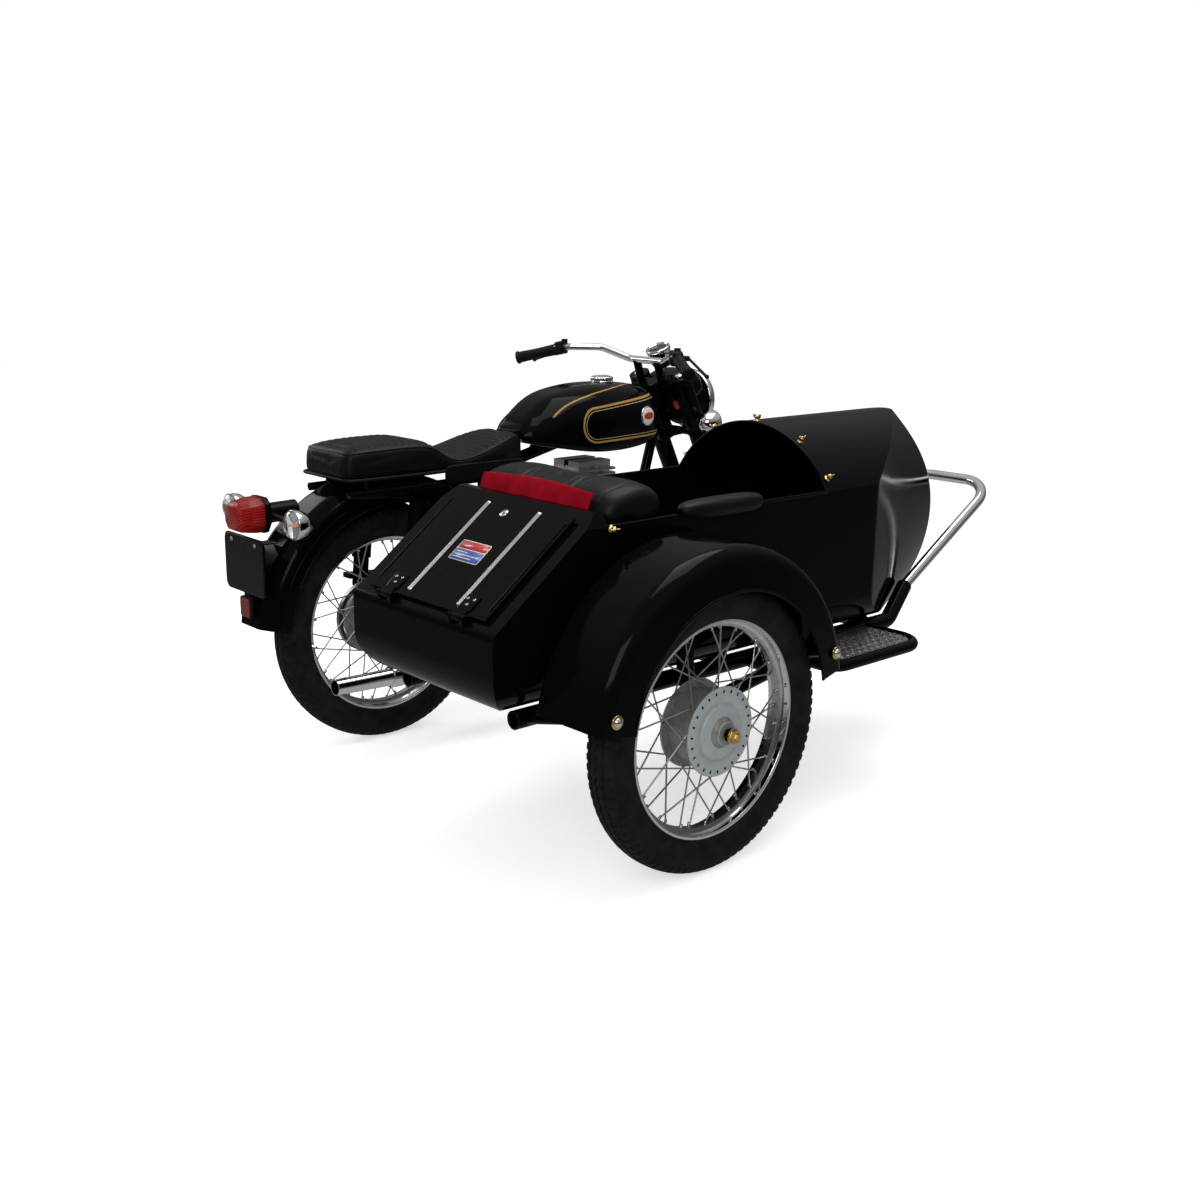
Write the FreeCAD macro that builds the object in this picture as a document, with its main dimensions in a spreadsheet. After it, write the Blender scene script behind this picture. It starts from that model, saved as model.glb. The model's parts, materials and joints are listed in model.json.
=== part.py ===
"""Sidecar motorcycle: a classic single-cylinder motorcycle with a one-seat sidecar on its right.

Frame: millimetres, +X forward, +Y to the rider's left, +Z up, origin on the floor under the middle
of the whole outfit.  Places inside a piece are counted from the bike's datum, the floor point under
the rear axle on the bike's own centre plane, and each piece's Placement carries it from there.
"""
import FreeCAD, Part
import math
import os

import Sketcher

DOC = FreeCAD.newDocument("outfit")
SHEET = DOC.addObject("Spreadsheet::Sheet", "dims")

# ------------------------------------------------------------------ driving sizes
# word, value in mm (degrees where the note says so), what it measures
SIZES = (
    ("wheelbase", 1370, "rear axle to front axle"),
    ("track", 1200, "bike centre plane to the sidecar wheel's centre plane"),
    ("side_wheel_lead", 40, "sidecar axle ahead of the rear axle"),
    ("tyre_r", 327, "outer radius of the 19 inch tyres"),
    ("tyre_w", 94, "width of a tyre"),
    ("tyre_wall", 9, "thickness of a tyre's casing"),
    ("tread_w", 76, "width across a tyre's shoulders"),
    ("bead_r", 241, "bead seat radius of the rims"),
    ("rim_lip", 12, "height of a rim's lip above its bead seat"),
    ("rim_w", 62, "width over a rim's lips"),
    ("rim_wall", 3, "thickness of a rim"),
    ("rim_well", 11, "depth of a rim's well"),
    ("spoke_r", 1.9, "radius of a spoke"),
    ("spoke_pairs", 18, "spokes on each side of a wheel"),
    ("spoke_cross", 40, "degrees a spoke sweeps between hub and rim"),
    ("flange_r", 100, "radius of a hub's spoke flanges"),
    ("flange_w", 5, "thickness of a spoke flange"),
    ("flange_gap", 36, "wheel's centre plane to a spoke flange"),
    ("drum_r", 84, "radius of a hub's drum"),
    ("boss_r", 26, "radius of a hub's end boss"),
    ("hub_half", 62, "half the length of a hub"),
    ("axle_r", 8, "radius of the axles"),
    ("axle_play", 0.05, "gap all round between an axle and its hub"),
    ("sprocket_r", 84, "radius of the rear sprocket"),
    ("small_sprocket_r", 34, "radius of the gearbox sprocket"),
    ("gearbox_ahead", 520, "gearbox sprocket's centre ahead of the rear axle"),
    ("gearbox_up", 352, "gearbox sprocket's centre above the floor"),
    ("chain_y", 70, "chain line, left of the bike's centre plane"),
    ("chain_w", 14, "width of the chain"),
    ("chain_deep", 12, "depth of the chain's plates"),
    ("chain_gap", 6, "gap between sprockets and the chain loop"),
    ("rake", 26.5, "degrees between steering axis and upright"),
    ("fork_offset", 50, "fork legs ahead of the steering axis"),
    ("fork_half", 90, "half the distance between the fork legs"),
    ("lower_yoke_up", 520, "lower yoke above the front axle, along the fork"),
    ("upper_yoke_up", 690, "upper yoke above the front axle, along the fork"),
    ("yoke_thick", 24, "thickness of a yoke"),
    ("slider_r", 22, "radius of a fork slider"),
    ("shroud_r", 28, "radius of a fork leg's upper shroud"),
    ("slider_up", 300, "top of the sliders above the front axle"),
    ("stem_r", 15, "radius of the steering stem"),
    ("head_r", 28, "radius of the frame's head tube"),
    ("head_gap", 6, "gap between head tube and yokes"),
    ("frame_tube_r", 16, "radius of the main frame tubes"),
    ("rail_tube_r", 11, "radius of the seat rails and stays"),
    ("rail_half", 96, "half the distance between the seat rails"),
    ("pivot_ahead", 430, "swinging arm pivot ahead of the rear axle"),
    ("pivot_up", 345, "swinging arm pivot above the floor"),
    ("arm_half", 100, "half the distance between the swinging arm's legs"),
    ("arm_r", 16, "radius of the swinging arm's legs"),
    ("shock_half", 132, "half the distance between the rear shock absorbers"),
    ("shock_r", 27, "radius of a rear shock absorber's cover"),
    ("barrel_ahead", 735, "cylinder's centre line ahead of the rear axle"),
    ("fin_r", 84, "radius of the barrel's fins"),
    ("fin_step", 14, "pitch of the cooling fins"),
    ("fin_thick", 4, "thickness of a cooling fin"),
    ("barrel_fins", 9, "number of fins on the barrel"),
    ("head_fins", 6, "number of fins on the cylinder head"),
    ("head_len", 172, "length of the cylinder head's fins"),
    ("head_wide", 150, "width of the cylinder head's fins"),
    ("case_half", 58, "half the width of the crankcase"),
    ("primary_w", 50, "width of the primary chain case"),
    ("timing_w", 38, "width of the timing cover"),
    ("pipe_r", 19, "radius of the exhaust pipe"),
    ("silencer_r", 38, "radius of the silencer"),
    ("tail_pipe_r", 23, "radius of the silencer's tail pipe"),
    ("silencer_y", 200, "silencer's distance right of the bike's centre plane"),
    ("tank_half", 134, "half the width of the fuel tank"),
    ("tank_rear", 452, "tank's rear end ahead of the rear axle"),
    ("tank_front", 1000, "tank's front end ahead of the rear axle"),
    ("tank_floor", 738, "tank's lower edge above the floor"),
    ("tank_top", 962, "tank's highest point above the floor"),
    ("cap_r", 34, "radius of the fuel cap"),
    ("seat_w", 250, "width of the dual seat"),
    ("seat_base", 750, "seat's underside above the floor"),
    ("pillion_top", 836, "pillion part's top above the floor"),
    ("rider_top", 780, "rider part's lowest top above the floor"),
    ("seat_rear", 172, "seat's rear end behind the rear axle"),
    ("guard_r", 408, "radius of the rear mudguard"),
    ("guard_lift", 336, "centre of the rear mudguard's arc above the floor"),
    ("guard_w", 164, "width of the rear mudguard"),
    ("guard_wall", 3, "thickness of the mudguards"),
    ("front_guard_r", 352, "radius of the front mudguard"),
    ("front_guard_w", 128, "width of the front mudguard"),
    ("plate_w", 204, "width of the number plate"),
    ("plate_high", 150, "height of the number plate"),
    ("plate_base", 468, "number plate's lower edge above the floor"),
    ("plate_back", 410, "number plate behind the rear axle"),
    ("plate_bolt_gap", 120, "distance between the number plate's bolts"),
    ("plate_bolt_r", 3, "radius of the number plate's bolt holes"),
    ("tail_lamp_up", 668, "tail lamp's centre above the floor"),
    ("tail_lamp_r", 45, "radius of the tail lamp"),
    ("tail_reach", 445, "tail lamp's rear end behind the rear axle"),
    ("winker_r", 38, "radius of the indicators"),
    ("winker_half", 158, "half the distance between the rear indicators"),
    ("headlamp_r", 92, "radius of the headlamp"),
    ("headlamp_back", 160, "headlamp's rim behind the front axle"),
    ("headlamp_up", 872, "headlamp's centre above the floor"),
    ("bar_r", 11, "radius of the handlebar tube"),
    ("bar_half", 385, "half the width of the handlebar"),
    ("bar_up", 995, "handlebar's ends above the floor"),
    ("bar_crest", 1036, "handlebar's highest bends above the floor"),
    ("bar_back", 575, "handlebar's ends behind the front axle"),
    ("grip_r", 16, "radius of a grip"),
    ("grip_len", 128, "length of a grip"),
    ("mirror_hole_r", 4.2, "radius of the tapped mirror holes"),
    ("boss_tall", 18, "height of a mirror boss"),
    ("stand_ahead", 415, "centre stand's pivot ahead of the rear axle"),
    ("stand_up", 246, "centre stand's pivot above the floor"),
    ("stand_leg", 262, "length of the centre stand's legs"),
    ("stand_half", 106, "half the distance between the centre stand's legs"),
    ("stand_r", 11, "radius of the centre stand's tubes"),
    ("body_y", 800, "bike centre plane to the sidecar body's centre plane"),
    ("body_half", 255, "half the width of the sidecar body"),
    ("body_floor", 394, "sidecar body's underside above the floor"),
    ("body_rail", 768, "cockpit rail above the floor"),
    ("body_wall", 5, "thickness of the sidecar body's panels"),
    ("body_corner", 88, "radius along the body's lower edges"),
    ("cowl_rise", 148, "rise of the cowl's arch above the cockpit rail"),
    ("cowl_start", 602, "cowl's rear edge ahead of the rear axle"),
    ("prow_start", 806, "where the body's sides start to draw in"),
    ("prow_tip_r", 42, "radius of the prow's edge seen from above"),
    ("boot_edge", 150, "boot's top edge behind the rear axle"),
    ("boot_edge_up", 797, "boot's top edge above the floor"),
    ("boot_tail", 434, "boot's rear end behind the rear axle"),
    ("boot_tail_up", 580, "lower end of the boot's slope above the floor"),
    ("boot_round", 98, "radius under the boot's tail"),
    ("bulkhead_back", 128, "bulkhead behind the rear axle"),
    ("lid_wide", 420, "width of the boot lid"),
    ("lid_long", 300, "length of the boot lid along the slope"),
    ("lid_thick", 5, "thickness of the boot lid"),
    ("lid_gap", 5, "gap under the boot lid"),
    ("lid_lap", 14, "boot lid's overlap round its opening"),
    ("hinge_r", 7, "radius of the boot lid's hinge knuckles"),
    ("hinge_pin_r", 3, "radius of the boot lid's hinge pins"),
    ("rail_outer_y", 990, "bike centre plane to the chassis's outer tube"),
    ("rail_inner_y", 600, "bike centre plane to the chassis's inner tube"),
    ("chassis_up", 368, "chassis tubes above the floor"),
    ("chassis_r", 21, "radius of the chassis tubes"),
    ("socket_r", 16, "radius of the open rear end of a chassis tube"),
    ("socket_deep", 60, "depth of the open rear end of a chassis tube"),
    ("chassis_rear", 330, "chassis's rear ends behind the rear axle"),
    ("kick_start", 975, "where the chassis tubes turn up, ahead of the rear axle"),
    ("bumper_root", 1100, "bumper's roots ahead of the rear axle"),
    ("bumper_slope", 31, "degrees the bumper rises forward"),
    ("bumper_front", 1512, "bumper's front bar ahead of the rear axle"),
    ("bumper_half", 150, "half the distance between the bumper's legs"),
    ("bumper_r", 15, "radius of the bumper's tube"),
    ("bumper_bend", 95, "bend radius of the bumper's corners"),
    ("step_rear", 500, "step's rear end ahead of the rear axle"),
    ("step_front", 862, "step's front end ahead of the rear axle"),
    ("step_out", 1186, "step's outer tube from the bike's centre plane"),
    ("step_bend", 70, "bend radius of the step's corners"),
    ("step_tube_r", 15, "radius of the step's tube"),
    ("side_guard_r", 395, "radius of the sidecar mudguard's crown"),
    ("side_guard_lift", 348, "centre of the sidecar mudguard's arc above the floor"),
    ("side_guard_skirt", 298, "radius of the sidecar mudguard's wheel opening"),
    ("side_guard_in", 1082, "mudguard's inner edge from the bike's centre plane"),
    ("side_guard_out", 1284, "mudguard's outer face from the bike's centre plane"),
    ("side_guard_round", 40, "radius along the mudguard's outer crown"),
    ("knob_r", 6, "radius of the cover studs"),
    ("knob_tall", 17, "height of the cover studs"),
)


class Size:
    """A length, angle or place: its number, and the expression that ties it to the sheet."""

    def __init__(self, number, text):
        self.number = float(number)
        self.text = text

    def __float__(self):
        return self.number

    def __add__(self, other):
        return join(self, "+", other)

    def __radd__(self, other):
        return join(other, "+", self)

    def __sub__(self, other):
        return join(self, "-", other)

    def __rsub__(self, other):
        return join(other, "-", self)

    def __mul__(self, other):
        return join(self, "*", other)

    def __rmul__(self, other):
        return join(other, "*", self)

    def __truediv__(self, other):
        return join(self, "/", other)

    def __rtruediv__(self, other):
        return join(other, "/", self)

    def __neg__(self):
        return join(0, "-", self)


def text_of(value):
    """The expression text of a Size or of a plain number."""
    return value.text if isinstance(value, Size) else repr(float(value))


def join(left, sign, right):
    """Two values joined by + - * or /, as a number and as an expression."""
    a, b = float(left), float(right)
    number = {"+": a + b, "-": a - b, "*": a * b, "/": a / b if b else 0.0}[sign]
    return Size(number, f"({text_of(left)} {sign} {text_of(right)})")


def sin(angle):
    """Sine of an angle in degrees."""
    return Size(math.sin(math.radians(float(angle))), f"sin({text_of(angle)} * 1 deg)")


def cos(angle):
    """Cosine of an angle in degrees."""
    return Size(math.cos(math.radians(float(angle))), f"cos({text_of(angle)} * 1 deg)")


def tan(angle):
    """Tangent of an angle in degrees."""
    return sin(angle) / cos(angle)


class Sheet:
    """The driving sizes by name, each one a Size read back from the spreadsheet."""

    def __init__(self, rows):
        for number, (word, value, note) in enumerate(rows, start=1):
            SHEET.set(f"A{number}", word)
            SHEET.set(f"B{number}", str(value))
            SHEET.set(f"C{number}", note)
            SHEET.setAlias(f"B{number}", word)
        DOC.recompute()
        for word, value, note in rows:
            setattr(self, word, Size(getattr(SHEET, word), f"dims.{word}"))


D = Sheet(SIZES)

# ------------------------------------------------------------------ places worked out from the sizes
SIDE_REACH = D.track + D.hub_half + D.boss_r                 # sidecar axle's nut, right of the bike
DATUM_X = (D.tail_reach - D.wheelbase - D.tyre_r) / 2
DATUM_Y = (SIDE_REACH - D.bar_half) / 2
RIM_EDGE_R = D.bead_r + D.rim_lip
BEAD_HALF = D.rim_w / 2 - D.rim_wall
HUB_BORE_R = D.axle_r + D.axle_play
BODY_RIGHT = -D.body_y - D.body_half
BODY_LEFT = -D.body_y + D.body_half
COWL_TOP = D.body_rail + D.cowl_rise
SLOPE_RUN = D.boot_tail - D.boot_edge
SLOPE_RISE = D.boot_edge_up - D.boot_tail_up
SLOPE_ANGLE = math.degrees(math.atan2(float(SLOPE_RISE), float(SLOPE_RUN)))


def fork_point(up, ahead=0.0, side=0.0):
    """Point on the fork: up along it from the front axle, ahead square to it, side to the left."""
    along = (up * -1.0 * sin(D.rake), up * cos(D.rake))
    across = (ahead * cos(D.rake), ahead * sin(D.rake))
    return (D.wheelbase + along[0] + across[0], side, D.tyre_r + along[1] + across[1])


# ------------------------------------------------------------------ ways of making a piece
PIECES = {}


def bind(thing, name, value):
    """Sets a property from a size: by expression where it comes from the sheet, else as a number."""
    if isinstance(value, Size):
        thing.setExpression(name, value.text)
    else:
        setattr(thing, name, value)


def vector(point):
    """A FreeCAD vector from three sizes or numbers."""
    return FreeCAD.Vector(*[float(part) for part in point])


def put(thing, point=(0, 0, 0), yaw=0, pitch=0, roll=0):
    """Binds a Placement: where the piece's own origin goes, and its turns in degrees."""
    base = "; ".join(text_of(part) for part in point)
    turn = "; ".join(text_of(part) for part in (yaw, pitch, roll))
    thing.setExpression("Placement", f"placement(vector({base}); rotation({turn}))")
    return thing


def rod(start, end, radius, name="rod"):
    """A Part::Cylinder from one point to another."""
    dx, dy, dz = (b - a for a, b in zip(start, end))
    dx, dy, dz = (part if isinstance(part, Size) else Size(part, repr(float(part))) for part in (dx, dy, dz))
    thing = DOC.addObject("Part::Cylinder", name)
    bind(thing, "Radius", radius)
    span = f"sqrt({dx.text} ^ 2 + {dy.text} ^ 2 + {dz.text} ^ 2)"
    thing.setExpression("Height", span)
    base = "; ".join(text_of(part) for part in start)
    yaw = f"atan2({dy.text}; {dx.text})" if abs(float(dx)) + abs(float(dy)) > 1e-6 else "0"
    thing.setExpression("Placement",
                        f"placement(vector({base}); rotation({yaw}; acos({dz.text} / {span}); 0))")
    return thing


def block(low, size, name="block"):
    """A Part::Box from its lowest corner and its three sizes."""
    thing = DOC.addObject("Part::Box", name)
    for word, value in zip(("Length", "Width", "Height"), size):
        bind(thing, word, value)
    return put(thing, low)


def joined(things, name="joined"):
    """A Part::MultiFuse of several shapes."""
    thing = DOC.addObject("Part::MultiFuse", name)
    thing.Shapes = things
    return thing


def trimmed(base, tool, name="trimmed"):
    """A Part::Cut of one shape by another."""
    thing = DOC.addObject("Part::Cut", name)
    thing.Base = base
    thing.Tool = tool
    return thing


def node(label, thing, point=(0, 0, 0)):
    """Names a finished piece and carries it from the bike's datum to its place in the outfit."""
    thing.Label = label
    put(thing, (DATUM_X + point[0], DATUM_Y + point[1], 0 + point[2]))
    PIECES[label] = thing
    return thing


def turned_node(label, thing, point, yaw=0, pitch=0, roll=0):
    """As node, for a piece that is turned about its own origin as well."""
    thing.Label = label
    put(thing, (DATUM_X + point[0], DATUM_Y + point[1], 0 + point[2]), yaw, pitch, roll)
    PIECES[label] = thing
    return thing


def shaped(shape, name="shape"):
    """A Part::Feature for a form that neither sketches nor primitives make."""
    thing = DOC.addObject("Part::Feature", name)
    thing.Shape = shape
    return thing


def rounded(corners, closed=True):
    """Lines and arcs through corners (u, v) or (u, v, radius), as lists of two or three points."""
    points = [FreeCAD.Vector(float(c[0]), float(c[1]), 0) for c in corners]
    radii = [float(c[2]) if len(c) > 2 else 0.0 for c in corners]
    count = len(points)
    ends = []
    for i, here in enumerate(points):
        if radii[i] <= 0 or (not closed and i in (0, count - 1)):
            ends.append((here, None, here))
            continue
        back = (points[i - 1] - here).normalize()
        on = (points[(i + 1) % count] - here).normalize()
        half = back.getAngle(on) / 2
        reach = radii[i] / math.tan(half)
        middle = here + (back + on).normalize() * (radii[i] / math.sin(half) - radii[i])
        ends.append((here + back * reach, middle, here + on * reach))
    parts = []
    for i in range(count):
        if ends[i][1] is not None:
            parts.append(ends[i])
        if closed or i < count - 1:
            leave, arrive = ends[i][2], ends[(i + 1) % count][0]
            if leave.distanceToPoint(arrive) > 1e-6:
                parts.append((leave, arrive))
    return parts


def flat_wire(corners, place, closed=True):
    """A Part.Wire through rounded corners; place turns (u, v) into a point in space."""
    edges = []
    for part in rounded(corners, closed):
        spots = [place(p.x, p.y) for p in part]
        if len(spots) == 2:
            edges.append(Part.makeLine(spots[0], spots[1]))
        else:
            edges.append(Part.Arc(*spots).toShape())
    return Part.Wire(edges)


def level_arc(start, middle, end):
    """The arc through three points of a sketch, counted anticlockwise as sketches store it."""
    centre = Part.Circle(start, middle, end).Center
    first, last = (math.atan2(p.y - centre.y, p.x - centre.x) for p in (start, end))
    if (middle - start).cross(end - start).z < 0:
        first, last = last, first
    if last < first:
        last += 2 * math.pi
    circle = Part.Circle(centre, FreeCAD.Vector(0, 0, 1), centre.distanceToPoint(start))
    return Part.ArcOfCircle(circle, first, last)


def sketch_on(body, role, corners, shift=0):
    """A closed sketch on one of the body's origin planes.

    Each corner is (u, v) or (u, v, radius).  Its point is tied to the sheet, the lines pass through
    their corner points, and an arc touches both lines of a rounded corner.
    """
    sketch = body.newObject("Sketcher::SketchObject", "outline")
    plane = [item for item in body.Origin.OriginFeatures if item.Role == role][0]
    sketch.AttachmentSupport = (plane, [""])
    sketch.MapMode = "FlatFace"
    if isinstance(shift, Size) or shift:
        bind(sketch, "AttachmentOffset.Base.z", shift) if isinstance(shift, Size) else setattr(
            sketch, "AttachmentOffset", FreeCAD.Placement(FreeCAD.Vector(0, 0, shift), FreeCAD.Rotation()))
    places = []
    for number, corner in enumerate(corners):
        u, v = corner[0], corner[1]
        spot = sketch.addGeometry(Part.Point(FreeCAD.Vector(float(u), float(v), 0)), True)
        for kind, value in (("DistanceX", u), ("DistanceY", v)):
            rule = sketch.addConstraint(Sketcher.Constraint(kind, -1, 1, spot, 1, float(value)))
            if isinstance(value, Size):
                word = f"{kind[-1].lower()}{number}"
                sketch.renameConstraint(rule, word)
                sketch.setExpression(f"Constraints.{word}", value.text)
        places.append(spot)
    count = len(corners)
    parts = rounded(corners)
    index = 0
    lines, arcs = [], {}
    for number in range(count):
        if len(corners[number]) > 2 and float(corners[number][2]) > 0:
            arcs[number] = sketch.addGeometry(level_arc(*parts[index]), False)
            index += 1
        lines.append(sketch.addGeometry(Part.LineSegment(*parts[index]), False))
        index += 1
    for number in range(count):
        before, after = lines[number - 1], lines[number]
        for line in (before, after):
            if number not in arcs:
                continue
            sketch.addConstraint(Sketcher.Constraint("PointOnObject", places[number], 1, line))
        if number in arcs:
            arc = arcs[number]
            shape = sketch.Geometry[arc]
            start_first = shape.StartPoint.distanceToPoint(sketch.Geometry[before].EndPoint) < 1e-4
            first, last = (1, 2) if start_first else (2, 1)
            sketch.addConstraint(Sketcher.Constraint("Tangent", before, 2, arc, first))
            sketch.addConstraint(Sketcher.Constraint("Tangent", arc, last, after, 1))
            radius = corners[number][2]
            rule = sketch.addConstraint(Sketcher.Constraint("Radius", arc, float(radius)))
            if isinstance(radius, Size):
                sketch.renameConstraint(rule, f"r{number}")
                sketch.setExpression(f"Constraints.r{number}", radius.text)
        else:
            sketch.addConstraint(Sketcher.Constraint("Coincident", before, 2, places[number], 1))
            sketch.addConstraint(Sketcher.Constraint("Coincident", after, 1, places[number], 1))
    return sketch


def new_body(name="body"):
    """An empty PartDesign body."""
    body = DOC.addObject("PartDesign::Body", name)
    return body


def padded(role, corners, length, shift=0, body=None):
    """A body with a closed outline on one of its planes, padded both ways from that plane."""
    body = body or new_body()
    sketch = sketch_on(body, role, corners, shift)
    pad = body.newObject("PartDesign::Pad", "pad")
    pad.Profile = sketch
    pad.Midplane = True
    bind(pad, "Length", length)
    return body


def revolved(role, corners, axis="H_Axis", angle=360, body=None):
    """A body with a closed outline turned about one of its sketch's axes."""
    body = body or new_body()
    sketch = sketch_on(body, role, corners)
    turn = body.newObject("PartDesign::Revolution", "turn")
    turn.Profile = sketch
    turn.ReferenceAxis = (sketch, [axis])
    bind(turn, "Angle", angle)
    return body


def swept(points, radius, name="tube"):
    """A round tube's solid along corners (x, y, z) or (x, y, z, bend radius)."""
    spots = [vector(p[:3]) for p in points]
    bends = [float(p[3]) if len(p) > 3 else 0.0 for p in points]
    edges = []
    start = spots[0]
    for i in range(1, len(spots) - 1):
        here = spots[i]
        back = (spots[i - 1] - here).normalize()
        on = (spots[i + 1] - here).normalize()
        half = back.getAngle(on) / 2
        reach = bends[i] / math.tan(half)
        into = here + back * reach
        out = here + on * reach
        middle = here + (back + on).normalize() * (bends[i] / math.sin(half) - bends[i])
        if start.distanceToPoint(into) > 1e-6:
            edges.append(Part.makeLine(start, into))
        edges.append(Part.Arc(into, middle, out).toShape())
        start = out
    edges.append(Part.makeLine(start, spots[-1]))
    path = Part.Wire(edges)
    ring = Part.Wire([Part.makeCircle(float(radius), spots[0], spots[1] - spots[0])])
    return path.makePipeShell([ring], True, False)


def mirrored(point):
    """The same point on the other side of the bike's centre plane."""
    return (point[0], -1 * point[1]) + tuple(point[2:])


def tube_node(label, runs):
    """A node of bent tubes, each (points, radius), fused where they meet."""
    shapes = [swept(points, radius) for points, radius in runs]
    shape = shapes[0].multiFuse(shapes[1:]) if len(shapes) > 1 else shapes[0]
    return node(label, shaped(shape, label))


# ------------------------------------------------------------------ wheels
WHEELS = (
    # name, centre: ahead of the rear axle, left of the bike's centre plane
    ("front", D.wheelbase, 0),
    ("rear", 0, 0),
    ("sidecar", D.side_wheel_lead, -D.track),
)


def tyre(name, ahead, left):
    """An open-bellied tyre: tread, shoulders and side walls of one thickness, beads on the rim."""
    half, wall = D.tyre_w / 2, D.tyre_wall
    belly = D.bead_r + (D.tyre_r - D.bead_r) * 0.5
    shoulder = D.tyre_r - 9
    crown = D.tread_w * 0.2
    corners = [
        (-BEAD_HALF, D.bead_r), (-BEAD_HALF, RIM_EDGE_R + 1), (-half, belly, 26), (-D.tread_w / 2, shoulder, 10), (-crown, D.tyre_r),
        (crown, D.tyre_r), (D.tread_w / 2, shoulder, 10), (half, belly, 26),
        (BEAD_HALF, RIM_EDGE_R + 1), (BEAD_HALF, D.bead_r),
        (BEAD_HALF - wall, D.bead_r), (half - wall, belly, 18), (crown, D.tyre_r - wall - 2),
        (-crown, D.tyre_r - wall - 2), (wall - half, belly, 18), (wall - BEAD_HALF, D.bead_r),
    ]
    return node(f"{name}_tyre", revolved("YZ_Plane", corners), (ahead, left, D.tyre_r))


def wire_rim(name, ahead, left):
    """A well-base rim with its laced spokes: half lean forward and half back, on both hub flanges."""
    edge, seat, wall = RIM_EDGE_R, D.bead_r, D.rim_wall
    well, half = D.bead_r - D.rim_well, D.rim_w / 2
    section = [
        (wall - half, edge), (wall - half, seat), (-11, seat), (-8, well), (8, well), (11, seat),
        (half - wall, seat), (half - wall, edge), (half, edge), (half, seat - wall, 3),
        (12, seat - wall), (9, well - wall), (-9, well - wall), (-12, seat - wall),
        (-half, seat - wall, 3), (-half, edge),
    ]
    ring = flat_wire(section, lambda u, v: FreeCAD.Vector(0, u, v))
    rim = Part.Face(ring).revolve(FreeCAD.Vector(0, 0, 0), FreeCAD.Vector(0, 1, 0), 360)
    spokes = []
    count = int(float(D.spoke_pairs))
    step = 360.0 / count
    hole_r = float(D.flange_r) - 8
    for side in (-1, 1):
        for number in range(count):
            lean = 1 if number % 2 else -1
            start = step * number + (step / 2 if side > 0 else 0)
            end = start + lean * float(D.spoke_cross)
            inner_y = side * (float(D.flange_gap) + lean * 2.6)
            outer_y = side * 4.0
            outer_r = float(well) - 1
            points = []
            for angle, radius, y in ((start, hole_r, inner_y), (end, outer_r, outer_y)):
                turn = math.radians(angle)
                points.append(FreeCAD.Vector(radius * math.sin(turn), y, radius * math.cos(turn)))
            run = points[1] - points[0]
            spokes.append(Part.makeCylinder(float(D.spoke_r), run.Length, points[0], run))
    return node(f"{name}_wire_rim", shaped(rim.multiFuse(spokes)), (ahead, left, D.tyre_r))


def hub(name, ahead, left):
    """A drum hub with a spoke flange at each end and a boss bored for the axle."""
    gap, thick = D.flange_gap, D.flange_w
    corners = [
        (-D.hub_half, HUB_BORE_R), (-D.hub_half, D.boss_r, 4), (-gap - thick, D.boss_r + 14, 6),
        (-gap - thick, D.flange_r), (-gap, D.flange_r), (-gap, D.drum_r), (gap, D.drum_r),
        (gap, D.flange_r), (gap + thick, D.flange_r), (gap + thick, D.boss_r + 14, 6),
        (D.hub_half, D.boss_r, 4), (D.hub_half, HUB_BORE_R),
    ]
    body = revolved("YZ_Plane", corners)
    if name != "rear":
        return node(f"{name}_hub", body, (ahead, left, D.tyre_r))
    half = D.chain_w / 4
    disc = [(D.chain_y - half, HUB_BORE_R), (D.chain_y - half, D.sprocket_r),
            (D.chain_y + half, D.sprocket_r), (D.chain_y + half, HUB_BORE_R)]
    sprocket = revolved("YZ_Plane", disc)
    carrier = revolved("YZ_Plane", [(D.hub_half - 2, HUB_BORE_R), (D.hub_half - 2, D.boss_r + 8),
                                    (D.chain_y + half, D.boss_r + 8), (D.chain_y + half, HUB_BORE_R)])
    return node(f"{name}_hub", joined([body, sprocket, carrier]), (ahead, left, D.tyre_r))


def hexagon(point, direction, across, thick):
    """A nut: a six-sided prism at a point, its axis along +Y or -Y."""
    thing = DOC.addObject("Part::Prism", "nut")
    thing.Polygon = 6
    bind(thing, "Circumradius", across)
    bind(thing, "Height", thick)
    return put(thing, point, 0, 0, -90 * direction)


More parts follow.
